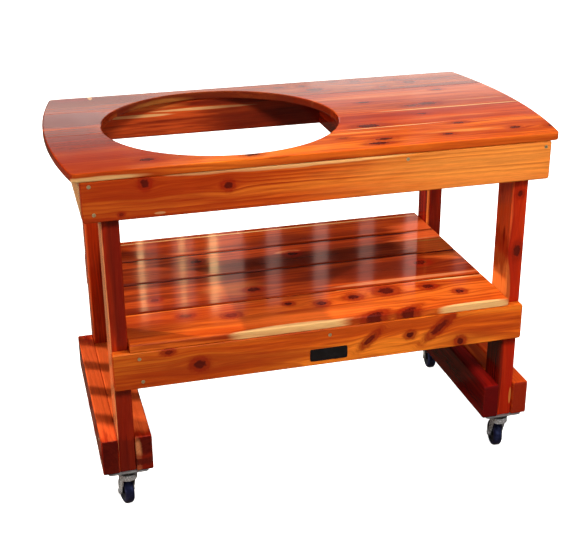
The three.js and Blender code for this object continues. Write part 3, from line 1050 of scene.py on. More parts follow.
# Each piece of the frame: how its grain runs, and its finish
FRAME_BOARDS: dict[str, tuple[Lay, CedarFinish]] = {
    "upper_apron_front": (Lay.ALONG_X_UPRIGHT, CedarFinish(
        srgb(240, 124, 36), srgb(210, 86, 21), srgb(144, 41, 9), 3.0, pith_across=0.70, pith_depth=-0.34,
        tilt=0.02, ring_width=0.0085, rings=0.9,
        knots=(
            Knot(-0.389, 0.7975, 0.011, 0.9), Knot(-0.2165, 0.777, 0.009, 1.2),
            Knot(-0.44, 0.735, 0.004, 1.5, 0.5)),
        streaks=(
            Streak(-0.10, 0.8115, 0.33, 0.010, Tone.SAPWOOD, 0.9),
            Streak(-0.361, 0.731, 0.014, 0.0035, Tone.SAPWOOD, 0.9),
            # Painted light and shade: gold towards the right end, red towards the left
            Streak(0.36, 0.77, 0.50, 0.16, Tone.GOLD, 0.5, edge=0.9),
            Streak(-0.42, 0.77, 0.56, 0.16, Tone.RED, 0.62, edge=0.9)))),
    "upper_apron_rear": (Lay.ALONG_X_UPRIGHT, CedarFinish(
        srgb(214, 86, 34), srgb(176, 56, 20), srgb(104, 20, 9), 5.0, pith_across=0.70, pith_depth=0.36,
        knots=(Knot(0.25, 0.775, 0.008), Knot(-0.46, 0.76, 0.008)),
        streaks=(
            # Painted shade under the top in the middle, and painted light in that band at the left
            Streak(-0.06, 0.800, 0.18, 0.010, Tone.BROWN, 0.5),
            Streak(-0.32, 0.800, 0.14, 0.014, Tone.AMBER, 0.8, edge=0.6),
            Streak(-0.33, 0.777, 0.11, 0.0045, Tone.SAPWOOD, 0.8),
            Streak(-0.15, 0.786, 0.15, 0.0040, Tone.SAPWOOD, 0.85),
            # Painted shadow over the right part of the inner face
            Streak(0.04, 0.77, 0.24, 0.10, Tone.BROWN, 0.7, edge=0.5)))),
    "upper_apron_left": (Lay.ALONG_Y_UPRIGHT, CedarFinish(
        srgb(248, 196, 134), srgb(238, 160, 92), srgb(180, 92, 48), 7.0, pith_across=0.78,
        pith_depth=-0.58,
        knots=(Knot(0.05, 0.76, 0.010), Knot(-0.18, 0.78, 0.007)))),
    "upper_apron_right": (Lay.ALONG_Y_UPRIGHT, red_cedar(
        8.0, pith_across=0.76, pith_depth=0.58,
        knots=(Knot(-0.10, 0.77, 0.009), Knot(0.14, 0.75, 0.011)),
        streaks=(Streak(0.0, 0.72, 0.24, 0.010, Tone.SAPWOOD, 0.8),))),
    "upper_joist": (Lay.ALONG_Y_UPRIGHT, red_cedar(9.0, pith_across=0.76, pith_depth=0.24)),
    "lower_apron_front": (Lay.ALONG_X_UPRIGHT, CedarFinish(
        srgb(246, 132, 36), srgb(228, 100, 22), srgb(164, 50, 10), 13.0, pith_across=0.33,
        pith_depth=-0.36, ring_width=0.0075, tilt=0.04, rings=0.7,
        knots=(
            Knot(-0.292, 0.369, 0.012, 1.3), Knot(0.102, 0.375, 0.010, 1.8, 0.7, slant=0.7),
            Knot(0.200, 0.374, 0.008, 1.3), Knot(0.272, 0.383, 0.012, 2.1, 0.7, slant=0.7),
            Knot(0.326, 0.341, 0.010, 1.0), Knot(-0.36, 0.408, 0.006, 2.0, 0.6)),
        streaks=(
            Streak(0.36, 0.35, 0.12, 0.02, Tone.RED, 0.4, edge=0.7),
            # Painted shade: red over the left half
            Streak(-0.36, 0.36, 0.46, 0.14, Tone.RED, 0.55, edge=0.9)))),
    "lower_apron_rear": (Lay.ALONG_X_UPRIGHT, red_cedar(
        14.0, pith_across=0.40, pith_depth=0.36,
        knots=(Knot(-0.26, 0.37, 0.010), Knot(0.12, 0.355, 0.012)),
        streaks=(Streak(0.1, 0.332, 0.3, 0.012, Tone.SAPWOOD, 0.8),))),
    "cross_member_left": (Lay.ALONG_Y_UPRIGHT, red_cedar(15.0, pith_across=0.3)),
    "cross_member_middle": (Lay.ALONG_Y_UPRIGHT, red_cedar(16.0, pith_across=0.42)),
    "cross_member_right": (Lay.ALONG_Y_UPRIGHT, red_cedar(17.0, pith_across=0.3)),
    "leg_front_left": (Lay.ALONG_Z, red_cedar(
        19.0, pith_across=-0.5, pith_depth=-0.2,
        streaks=(
            # Painted shade on the lower part of the leg
            Streak(0.17, -0.463, 0.170, 0.30, Tone.BROWN, 0.45, edge=0.05),
            Streak(0.09, -0.463, 0.106, 0.30, Tone.BROWN, 0.4, edge=0.05),
            Streak(0.60, -0.456, 0.27, 0.024, Tone.BROWN, 0.6, edge=0.4),
            Streak(0.40, -0.4835, 0.50, 0.0042, Tone.PALE, 0.85)))),
    "leg_front_right": (Lay.ALONG_Z, CedarFinish(
        srgb(226, 60, 12), srgb(200, 36, 8), srgb(136, 17, 7), 21.0, pith_across=0.50, pith_depth=-0.2,
        knots=(Knot(0.545, 0.466, 0.010, 1.6), Knot(0.685, 0.463, 0.007)),
        streaks=(
            # Painted shade low on the left face
            Streak(0.23, 0.444, 0.14, 0.008, Tone.BROWN, 0.85, edge=0.1),
            Streak(0.160, 0.477, 0.026, 0.0035, Tone.GOLD, 0.9),
            # Painted light on the upper left face
            Streak(0.62, 0.444, 0.26, 0.008, Tone.CORAL, 0.6),
            # Painted sunlight on the lit patch of the left face
            Streak(0.45, 0.445, 0.10, 0.012, Tone.AMBER, 0.9),
            # Painted shadow just above the lit patch, towards its front
            Streak(0.557, 0.444, 0.05, 0.006, Tone.BROWN, 0.85, through=-0.255, half_depth=0.012),
            Streak(0.40, 0.465, 0.70, 0.0200, Tone.RED, 0.5, edge=0.12)))),
    "leg_rear_left": (Lay.ALONG_Z, red_cedar(
        22.0, pith_across=-0.5, pith_depth=0.2,
        streaks=(Streak(0.5, -0.482, 0.35, 0.006, Tone.CORAL, 0.6),))),
    "leg_rear_right": (Lay.ALONG_Z, CedarFinish(
        srgb(176, 38, 13), srgb(140, 20, 10), srgb(84, 9, 8), 24.0, pith_across=0.5, pith_depth=0.2,
        streaks=(Streak(0.50, 0.444, 0.60, 0.006, Tone.AMBER, 0.9, through=0.214, half_depth=0.008),))),
    "runner_outer_left": (Lay.ALONG_Y_UPRIGHT, CedarFinish(
        RED_LIGHT, RED_MIDDLE, srgb(70, 5, 5), 25.0, pith_across=0.13, pith_depth=-0.55,
        knots=(Knot(-0.20, 0.15, 0.010), Knot(0.08, 0.16, 0.012)),
        streaks=(
            # Painted light: lighter coral along the sunlit top
            Streak(-0.02, 0.197, 0.30, 0.010, Tone.CORAL, 0.8),
            Streak(-0.18, 0.15, 0.10, 0.02, Tone.CORAL, 0.4, edge=0.8)))),
    "runner_inner_left": (Lay.ALONG_Y_UPRIGHT, CedarFinish(
        RED_LIGHT, RED_MIDDLE, srgb(70, 5, 5), 26.0, pith_across=0.12, pith_depth=-0.40,
        knots=(Knot(-0.285, 0.132, 0.012, 1.0, 0.8),),
        streaks=(
            # Painted light: lighter coral along the sunlit top
            Streak(-0.16, 0.197, 0.12, 0.008, Tone.CORAL, 0.8),
            Streak(-0.295, 0.150, 0.03, 0.06, Tone.PALE, 0.8,
                   through=-0.440, half_depth=0.012, edge=0.6)))),
    "runner_filler_left": (Lay.ALONG_Y_UPRIGHT, CedarFinish(
        srgb(222, 88, 24), srgb(206, 72, 20), RED_DARK, 29.0, pith_across=0.13, pith_depth=-0.46,
        # Painted light: lighter coral along the sunlit top
        streaks=(Streak(0.0, 0.197, 0.24, 0.010, Tone.CORAL, 0.8),))),
    "runner_filler_right": (Lay.ALONG_Y_UPRIGHT, CedarFinish(
        srgb(214, 84, 22), RED_MIDDLE, RED_DARK, 30.0, pith_across=0.14, pith_depth=0.46)),
    "runner_outer_right": (Lay.ALONG_Y_UPRIGHT, CedarFinish(
        srgb(214, 76, 22), srgb(184, 54, 16), srgb(140, 32, 14), 27.0, pith_across=0.15, pith_depth=0.55)),
    # Painted shade: this runner is coloured darker than the other runners
    "runner_inner_right": (Lay.ALONG_Y_UPRIGHT, CedarFinish(
        srgb(166, 26, 14), srgb(130, 14, 12), srgb(92, 8, 10), 28.0, pith_across=0.12, pith_depth=0.40)),
}

# The shelf, from the front
SHELF_BOARDS: tuple[CedarFinish, ...] = (
    CedarFinish(
        srgb(224, 104, 30), srgb(196, 72, 18), srgb(136, 36, 10), 33.0, pith_across=-0.235,
        pith_depth=0.47, tilt=0.035,
        knots=(
            Knot(-0.059, -0.191, 0.009), Knot(0.016, -0.210, 0.012, 1.2, 0.8), Knot(0.098, -0.196, 0.014),
            Knot(0.183, -0.184, 0.020, 1.2), Knot(0.288, -0.187, 0.014),
            Knot(0.350, -0.233, 0.012, 1.1, 0.8), Knot(0.114, -0.303, 0.013, 2.0, 0.8, slant=0.4),
            Knot(0.196, -0.303, 0.013, 2.0, 0.8, slant=0.5), Knot(-0.20, -0.215, 0.012, 1.5, 0.5),
            Knot(-0.30, -0.19, 0.010, 1.6, 0.5)),
        streaks=(
            # Painted light on the front board
            Streak(-0.02, -0.27, 0.24, 0.05, Tone.LIT_ORANGE, 0.6, edge=0.8),
            Streak(-0.082, -0.309, 0.145, 0.017, Tone.SAPWOOD, 0.95),
            Streak(0.35, -0.309, 0.11, 0.012, Tone.SAPWOOD, 0.9),
            Streak(0.26, -0.157, 0.21, 0.005, Tone.SAPWOOD, 0.8),
            Streak(-0.40, -0.24, 0.14, 0.05, Tone.UMBER, 0.5, edge=0.7))),
    CedarFinish(
        srgb(190, 70, 20), srgb(156, 48, 12), srgb(92, 22, 7), 35.0, pith_across=-0.06, pith_depth=0.47,
        # Painted shade in the gaps, on the sawn edges
        edges=0.95,
        knots=(
            Knot(-0.117, -0.090, 0.013, 1.5), Knot(-0.355, -0.086, 0.011, 1.2, 0.7),
            Knot(0.324, -0.044, 0.014, 1.4)),
        streaks=(
            Streak(0.25, -0.13, 0.22, 0.010, Tone.PALE, 0.6),
            Streak(0.20, -0.06, 0.26, 0.070, Tone.UMBER, 0.9, edge=0.6),
            Streak(-0.16, -0.07, 0.10, 0.05, Tone.AMBER, 0.5, edge=0.8),
            # Painted light at the right end
            Streak(0.46, -0.02, 0.14, 0.03, Tone.LIT_ORANGE, 0.7, edge=0.7),
            Streak(-0.20, 0.0, 0.30, 0.030, Tone.UMBER, 0.6, edge=0.7),
            # Painted shade along the gap behind this board
            Streak(0.0, 0.019, 1.5, 0.011, Tone.BROWN, 0.95, edge=0.2))),
    CedarFinish(
        srgb(178, 64, 20), srgb(146, 46, 13), srgb(84, 20, 7), 37.0, pith_across=0.10, pith_depth=0.47,
        # Painted shade in the gaps, on the sawn edges
        edges=0.95,
        knots=(Knot(-0.218, 0.117, 0.012, 1.4), Knot(0.030, 0.103, 0.012, 1.4)),
        streaks=(
            Streak(0.02, 0.06, 0.28, 0.060, Tone.UMBER, 0.85, edge=0.7),
            # Painted shade along the gap behind this board
            Streak(0.0, 0.168, 1.5, 0.013, Tone.BROWN, 0.95, edge=0.2),
            Streak(0.39, 0.06, 0.07, 0.012, Tone.SAPWOOD, 0.7),
            # Painted sunlight: the coral and orange patches at the right end
            Streak(0.44, 0.09, 0.16, 0.10, Tone.CORAL, 0.95, edge=0.4),
            Streak(0.46, 0.055, 0.18, 0.060, Tone.LIT_ORANGE, 0.9, edge=1.0),
            Streak(0.42, 0.095, 0.10, 0.006, Tone.GOLD, 0.7, edge=0.6),
            Streak(0.38, 0.112, 0.10, 0.004, Tone.PALE, 0.8, edge=0.6),
            Streak(0.02, 0.112, 0.04, 0.010, Tone.PALE, 0.5))),
    CedarFinish(
        srgb(182, 68, 16), srgb(156, 48, 10), srgb(98, 22, 6), 39.0, pith_across=0.22, pith_depth=0.46,
        # Painted shade in the gaps, on the sawn edges
        edges=0.95,
        streaks=(
            Streak(0.0, 0.283, 0.62, 0.0035, Tone.SAPWOOD, 0.75),
            Streak(0.02, 0.20, 0.18, 0.07, Tone.UMBER, 0.6, edge=0.7),
            # Painted sunlight at the right end
            Streak(0.44, 0.19, 0.14, 0.06, Tone.CORAL, 0.9, edge=0.5),
            # Painted shade along the rear edge
            Streak(0.0, 0.305, 0.6, 0.006, Tone.BROWN, 0.5))),
)


@dataclass
class TopPanel:
    """The boarded top with its bowed ends and round cut-out."""

    effects: Effects
    ring_width: float = 0.010
    halo: float = 0.55
    round_edge: float = 0.0006

    def build(self) -> None:
        """Dresses the top's eight lengths of board."""
        for index, board in enumerate(TOP_BOARDS, start=1):
            knots = tuple(replace(knot, halo=self.halo) for knot in board.knots)
            finish = replace(board, ring_width=self.ring_width, knots=knots,
                             streaks=(LEFT_RIM, *board.streaks))
            material = finish.material(f"top_{index}", Lay.ALONG_X_FLAT, self.effects)
            for suffix in ("",) if index in (1, len(TOP_BOARDS)) else ("_left", "_right"):
                dress(f"top_board_{index}{suffix}", material, self.round_edge)


@dataclass
class Frame:
    """Aprons, joist, cross members, legs and runners."""

    effects: Effects

    def build(self) -> None:
        """Dresses each piece of the frame with its own board."""
        for node, (lay, finish) in FRAME_BOARDS.items():
            dress(node, finish.material(node, lay, self.effects))


@dataclass
class Shelf:
    """The four glossy shelf boards, with wider rings and finer pores than the rest."""

    effects: Effects
    ring_width: float = 0.013
    rings: float = 0.6
    gloss: float = 0.065
    relief: float = 0.00002

    def build(self) -> None:
        """Dresses the shelf boards, numbered from the front."""
        for index, board in enumerate(SHELF_BOARDS, start=1):
            finish = replace(board, ring_width=self.ring_width, rings=self.rings, gloss=self.gloss,
                             relief=self.relief)
            material = finish.material(f"shelf_{index}", Lay.ALONG_X_FLAT, self.effects)
            dress(f"shelf_board_{index}", material)


# Turns a profile so that its first axis is along Y, its second one up and its depth along X
UPRIGHT_PROFILE = Matrix(((0, 0, 1, 0), (1, 0, 0, 0), (0, 1, 0, 0), (0, 0, 0, 1)))


@dataclass
class Casters:
    """Four swivel casters: plate, ball race, kingpin, fork, axle, hub and tyre.

    Heights are over the floor. A profile holds pairs of a radius and a height: the race's from
    its foot, the rivet's from the top of its head and the hub's from its middle.
    """

    effects: Effects
    ids: tuple[str, ...] = ("fl", "fr", "rl", "rr")
    height: float = 0.108
    plate: float = 0.0035
    plate_screws: tuple[Point, ...] = ((-0.038, -0.020), (0.038, -0.020), (0.038, 0.020), (-0.038, 0.020))
    plate_screw_radius: float = 0.0044
    plate_screw_height: float = 0.0024
    race_drop: float = 0.0125
    race_bore: float = 0.00603
    race_profile: tuple[Point, ...] = (
        (0.0186, 0.0), (0.0190, 0.0004), (0.0190, 0.0022), (0.0183, 0.0030), (0.0152, 0.0034),
        (0.0142, 0.0048), (0.0142, 0.0078), (0.0152, 0.0092), (0.0183, 0.0096), (0.0190, 0.0104),
        (0.0190, 0.0125))
    balls: int = 20
    ball_radius: float = 0.0023
    ball_circle: float = 0.0166
    ball_height: float = 0.0063
    rivet_profile: tuple[Point, ...] = (
        (0.0, -0.0040), (0.0052, -0.0038), (0.0078, -0.0030), (0.0091, -0.0018), (0.0095, -0.0006),
        (0.0094, 0.0), (0.0060, 0.0))
    gap: float = 0.0003
    crown_top: float = 0.0917
    crown_radius: float = 0.0215
    crown_bore: float = 0.0061
    crown_sheet: float = 0.0030
    crown_dish: float = 0.0198
    dish_rise: float = 0.0004
    skirt: float = 0.013
    skirt_sheet: float = 0.0024
    ease: float = 0.0005
    shoulder: float = 0.0095
    heel: Point = (0.0113, 0.001)
    tuck: float = 0.002
    eye: float = 0.009
    eye_turns: Span = (0.98, 1.06)
    inner: float = 0.0132
    sheet: float = 0.0026
    seat: float = 0.00003
    shank: float = 0.0040
    shank_bevel: float = 0.0006
    nut: float = 0.0066
    nut_height: float = 0.0030
    bolt_end: float = 0.0004
    washer_bore: float = 0.0041
    washer: float = 0.0006
    trail: float = 0.020
    wheel_radius: float = 0.033
    wheel_width: float = 0.022
    hub_profile: tuple[Point, ...] = (
        (0.0041, 0.012), (0.0082, 0.012), (0.0090, 0.0112), (0.0095, 0.0062), (0.0110, 0.0056),
        (0.0190, 0.0056), (0.0203, 0.0064), (0.0208, 0.0090), (0.0216, 0.0095), (0.0240, 0.0095))
    tyre_seat: float = 0.02403
    tyre_wall: float = 0.0252
    tyre_curve: float = 0.0072
    zinc: bpy.types.Material = field(init=False)
    shaded_plating: bpy.types.Material = field(init=False)
    dark: bpy.types.Material = field(init=False)
    moulding: bpy.types.Material = field(init=False)
    rubber: bpy.types.Material = field(init=False)

    def __post_init__(self) -> None:
        """Makes the casters' finishes."""
        self.zinc = MetalFinish((0.72, 0.74, 0.78), (0.55, 0.57, 0.60), 0.26).material(
            "bright_zinc", self.effects)
        # Shaded zinc is a darker copy of the bright zinc: painted shade on the plate, its screws and the
        # washers
        self.shaded_plating = MetalFinish((0.42, 0.43, 0.45), (0.30, 0.30, 0.31), 0.34).material(
            "shaded_zinc", self.effects)
        # The ball race's dark steel is painted shade under the table
        self.dark = MetalFinish((0.16, 0.16, 0.17), (0.10, 0.10, 0.10), 0.4).material(
            "shaded_race_steel", self.effects)
        self.moulding = MouldedFinish(srgb(62, 64, 70), srgb(34, 36, 42), 0.45).material(
            "caster_hub_moulding", self.effects)
        # The tyre's blue tint and its mottling are a painted reflection of the sky on black rubber
        self.rubber = MouldedFinish(srgb(54, 62, 100), srgb(15, 19, 46), 0.34).material(
            "caster_tyre_rubber", self.effects)

    def build(self) -> None:
        """Builds every caster over its CAD nodes."""
        for ident in self.ids:
            swivel, wheel = self.places(ident)
            node = f"caster_{ident}"
            flat = Matrix.Translation(swivel.to_translation())
            dress(f"{node}_plate", self.shaded_plating, 0.0)
            self.race(node, flat)
            self.fork(node, ident, swivel)
            self.axle(node, ident, wheel)
            self.rolling(node, ident, wheel)
            self.screws(node, flat)

    def places(self, ident: str) -> tuple[Matrix, Matrix]:
        """Where a caster's kingpin and its wheel stand at rest.

        Args:
            ident: The caster's corner.

        Returns:
            The floor point under the kingpin, turned as the fork is, and the axle's middle with
            its Z along the axle.
        """
        joints = {joint["name"]: joint for joint in frame["joints"]}
        pin = joints[f"swivel_{ident}_turn"]["pos_m"]
        axis = joints[f"wheel_{ident}_spin"]["axis"]
        turn = math.atan2(axis[1], axis[0])
        swivel = Matrix.Translation((pin[0], pin[1], 0)) @ Matrix.Rotation(turn, 4, "Z")
        wheel = (swivel @ Matrix.Translation((0, self.trail, self.wheel_radius))
                 @ Matrix.Rotation(math.radians(90), 4, "Y"))
        return swivel, wheel

    def screws(self, node: str, place: Matrix) -> None:
        """The four screws under the plate."""
        for i, (x, y) in enumerate(self.plate_screws):
            under = (place @ Matrix.Translation((x, y, self.height - self.plate))
                     @ Matrix.Rotation(math.pi, 4, "X"))
            Screws.head(f"{node}_screw_{i + 1}", under, self.shaded_plating, self.plate_screw_radius,
                        self.plate_screw_height)

    def race(self, node: str, place: Matrix) -> None:
        """The ball race under the plate, its balls, and the kingpin's riveted end."""
        plate = self.height - self.plate
        low = plate - self.race_drop
        steps = [(radius, low + height) for radius, height in self.race_profile]
        cups = Maker.lathe([(self.race_bore, low), *steps, (self.race_bore, plate)], 56, place)
        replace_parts(Maker.piece(f"{node}_race_cups", cups, self.dark, "frame"), f"{node}_race")
        balls = bmesh.new()
        for x, y in circle(self.ball_circle, self.balls):
            spot = place @ Matrix.Translation((x, y, low + self.ball_height))
            bmesh.ops.create_icosphere(balls, subdivisions=2, radius=self.ball_radius, matrix=spot)
        Maker.piece(f"{node}_race_balls", balls, self.zinc, "frame", 80)
        head = self.crown_top - self.crown_sheet - self.gap
        end = self.height - self.gap
        steps = [(radius, head + height) for radius, height in self.rivet_profile]
        pin = Maker.lathe([*steps, (steps[-1][0], end), (0, end)], 48, place)
        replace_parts(Maker.piece(f"{node}_rivet", pin, self.zinc, "frame"), f"{node}_kingpin")

    def fork(self, node: str, ident: str, place: Matrix) -> None:
        """The fork: a drawn crown with a rolled lip, and two stamped sides."""
        top, radius, under = self.crown_top, self.crown_radius, self.crown_top - self.skirt
        bore, ease, dish = self.crown_bore, self.ease, self.crown_dish
        floor, wall, lip = top - self.crown_sheet, radius - self.skirt_sheet, top + self.gap + ease
        crown = Maker.lathe([
            (bore, floor), (wall, floor), (wall, under + ease), (wall + ease, under),
            (radius - ease, under), (radius, under + ease), (radius, top + self.gap),
            (radius - ease, lip), (dish + ease, lip), (dish, top + self.dish_rise), (dish, top),
            (bore, top)], 64, place)
        body = f"swivel_{ident}"
        pieces = [Maker.piece(f"{node}_crown", crown, self.zinc, body)]
        start, sweep = (math.pi * turns for turns in self.eye_turns)
        outline = [(-self.shoulder, top - self.tuck), (-self.shoulder, under),
                   *arc((self.trail, self.wheel_radius), self.eye, start, sweep, 16),
                   (self.heel[0], under + self.heel[1]), (self.shoulder, top - self.tuck)]
        for side, low in (("left", -self.inner - self.sheet), ("right", self.inner)):
            plate = Maker.slab(outline, low, low + self.sheet, ease, place @ UPRIGHT_PROFILE)
            pieces.append(Maker.piece(f"{node}_fork_{side}", plate, self.zinc, body))
        for piece in pieces:
            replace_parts(piece, f"{node}_fork")

    def axle(self, node: str, ident: str, place: Matrix) -> None:
        """The axle bolt with its hexagon head, nut and washers."""
        face = self.inner + self.sheet + self.seat
        low, high = -face - self.bolt_end, face + self.nut_height
        end = high + self.shank_bevel
        body = f"swivel_{ident}"
        shank = Maker.lathe([(0, low), (self.shank, low), (self.shank, high),
                             (self.shank - self.shank_bevel, end), (0, end)], 40, place)
        pieces = [Maker.piece(f"{node}_axle_bolt", shank, self.zinc, body)]
        hexagon = circle(self.nut, 6, math.radians(30))
        for name, low, high in (("head", -end, -face - self.washer), ("nut", face + self.washer, high)):
            nut = Maker.slab(hexagon, low, high, self.ease, place)
            pieces.append(Maker.piece(f"{node}_axle_{name}", nut, self.zinc, body))
        for name, low in (("outer", face), ("inner", -face - self.washer)):
            high = low + self.washer
            washer = Maker.lathe([(self.washer_bore, low), (self.nut, low), (self.nut, high),
                                  (self.washer_bore, high)], 40, place)
            pieces.append(Maker.piece(f"{node}_washer_{name}", washer, self.shaded_plating, body))
        for piece in pieces:
            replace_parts(piece, f"{node}_axle")

    def rolling(self, node: str, ident: str, place: Matrix) -> None:
        """The moulded hub with its dished faces, and the rounded tyre."""
        body = f"wheel_{ident}"
        profile = [(radius, -height) for radius, height in self.hub_profile]
        profile += self.hub_profile[::-1]
        hub = Maker.piece(f"{node}_wheel_centre", Maker.lathe(profile, 64, place), self.moulding, body)
        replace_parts(hub, f"{node}_hub")
        half, curve = self.wheel_width / 2, self.tyre_curve
        profile = [(self.tyre_seat, -half), (self.tyre_wall, -half)]
        for sign, start in ((-1, -math.pi / 2), (1, 0.0)):
            middle = (self.wheel_radius - curve, sign * (half - curve))
            profile += arc(middle, curve, start, math.pi / 2, 8)
        profile += [(self.tyre_wall, half), (self.tyre_seat, half)]
        tyre = Maker.piece(f"{node}_tread", Maker.lathe(profile, 72, place), self.rubber, body)
        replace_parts(tyre, f"{node}_tyre")


@dataclass
class Screws:
    """Domed wood screws with cross recesses through the aprons and runners."""

    effects: Effects
    radius: float = 0.0042
    proud: float = 0.0007
    front: tuple[Point, ...] = (
        (-0.502, 0.800), (-0.496, 0.739), (0.506, 0.798), (0.180, 0.798),
        (-0.424, 0.400), (-0.419, 0.344), (0.007, 0.400))
    runner_heights: tuple[float, ...] = (0.128, 0.172)
    runner_places: tuple[float, ...] = (-0.246, 0.238)
    runner_stagger: float = 0.012

    @staticmethod
    def head(name: str, place: Matrix, material: bpy.types.Material, radius: float,
             height: float) -> None:
        """A domed screw head with a cross recess; its base lies on the place's XY plane.

        Args:
            name: The piece's name.
            place: Where its base stands, with Z pointing out.
            material: Its material.
            radius: The head's radius.
            height: How far it stands out.
        """
        sunk, rim, rings = 0.3 * height, 0.35 * height, 6
        profile = [(0.0, -sunk), (radius, -sunk), (radius, 0.0)]
        for i in range(1, rings):
            angle = math.pi / 2 * i / rings
            profile.append((radius * math.cos(angle), rim + (height - rim) * math.sin(angle)))
        profile.append((0.0, height))
        mesh = Maker.lathe(profile, 32, Matrix.Identity(4))
        reach, half_slot, depth = 0.55 * radius, 0.12 * radius, 0.8 * height
        for vertex in mesh.verts:
            x, y, z = vertex.co
            if z > 0 and math.hypot(x, y) < reach and min(abs(x), abs(y)) < half_slot:
                vertex.co.z = z - depth
        mesh.transform(place)
        Maker.piece(name, mesh, material, "frame", 30)

    def build(self) -> None:
        """Places every screw."""
        material = MetalFinish(srgb(214, 196, 150), srgb(170, 150, 108), 0.34).material(
            "yellow_zinc", self.effects)
        for prefix, end, sign in (("apron", "front", 1), ("rear_apron", "rear", -1)):
            low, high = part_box(f"upper_apron_{end}")
            face = low[1] if sign > 0 else high[1]
            out = Matrix.Rotation(math.radians(90 * sign), 4, "X")
            for i, (x, z) in enumerate(self.front):
                place = Matrix.Translation((sign * x, face, z)) @ out
                self.head(f"{prefix}_screw_{i + 1}", place, material, self.radius, self.proud)
        for side, sign in (("left", -1), ("right", 1)):
            low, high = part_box(f"runner_outer_{side}")
            face = high[0] if sign > 0 else low[0]
            out = Matrix.Rotation(math.radians(90 * sign), 4, "Y")
            for i, y in enumerate(self.runner_places):
                for j, z in enumerate(self.runner_heights):
                    shift = self.runner_stagger * (1 if (i + j) % 2 else -1)
                    place = Matrix.Translation((face, y + shift, z)) @ out
                    self.head(f"runner_screw_{side}_{i + 1}{j + 1}", place, material,
                              self.radius, self.proud)


@dataclass
class BarePlate:
    """The small black plate on the front lower apron, left bare."""

    effects: Effects
    width: float = 0.088
    height: float = 0.0295
    thick: float = 0.0017
    corner: float = 0.0045
    middle: Point = (0.0045, 0.354)
    ease: float = 0.0002
    rim: float = 0.0012

    def build(self) -> None:
        """Builds the plate with its raised rim."""
        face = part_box("lower_apron_front")[0][1]
        place = (Matrix.Translation((self.middle[0], face, self.middle[1]))
                 @ Matrix.Rotation(math.radians(90), 4, "X"))
        black = MouldedFinish(srgb(34, 34, 38), srgb(14, 14, 17), 0.3).material(
            "black_plate", self.effects)
        ease, thick = self.ease, self.thick
        sheet = Maker.slab(Maker.rounded(self.width, self.height, self.corner), -ease,
                           thick - 2 * ease, ease, place)
        Maker.piece("bare_plate", sheet, black, "frame")
        rim = bmesh.new()
        loops = []
        for inset, level in ((0.0, 0.0), (0.0, thick - ease), (ease, thick), (self.rim - ease, thick),
                             (self.rim, thick - ease), (self.rim, 0.0)):
            points = Maker.rounded(self.width - 2 * inset, self.height - 2 * inset, self.corner - inset)
            loops.append([rim.verts.new((x, y, level)) for x, y in points])
        for low, high in zip(loops, loops[1:] + loops[:1]):
            Maker.bridge(rim, low, high)
        rim.transform(place)
        Maker.piece("bare_plate_rim", rim, black, "frame")


# Colours of the light, linear
LAMPLIGHT = (1.0, 0.64, 0.32)
SHEEN = (1.0, 0.62, 0.52)
SUNLIGHT = (1.0, 0.93, 0.80)
WARM = (1.0, 0.97, 0.92)
WARMER = (1.0, 0.92, 0.82)
FAINT = (1.0, 0.98, 0.95)
REAR = (1.0, 0.97, 0.95)
HAZE = (1.0, 1.0, 0.97)
WHITE = (1.0, 1.0, 1.0)
BLACK = (0.0, 0.0, 0.0)


@dataclass(frozen=True)
class Lamp:
    """A soft rectangular light aimed at a point.

    Attributes:
        name: Its name.
        place: Where it stands.
        target: What it faces.
        width: Its width.
        height: Its height.
        glow: How bright its face is, with white paper in soft light as 1.
        colour: Its colour.
        mirrored: Whether the varnish mirrors it.
    """

    name: str
    place: Place
    target: Place
    width: float
    height: float
    glow: float
    colour: Colour = WHITE
    mirrored: bool = False

    def hang(self) -> None:
        """Adds the light to the scene."""
        data = bpy.data.lights.new(self.name, "AREA")
        data.shape = "RECTANGLE"
        data.size, data.size_y = self.width, self.height
        data.energy = self.glow * math.pi * self.width * self.height
        data.color = self.colour
        light = bpy.data.objects.new(self.name, data)
        light.location = self.place
        aim = Vector(self.target) - Vector(self.place)
        light.rotation_euler = aim.to_track_quat("-Z", "Y").to_euler()
        light.visible_camera = False
        light.visible_glossy = self.mirrored
        bpy.context.scene.collection.objects.link(light)


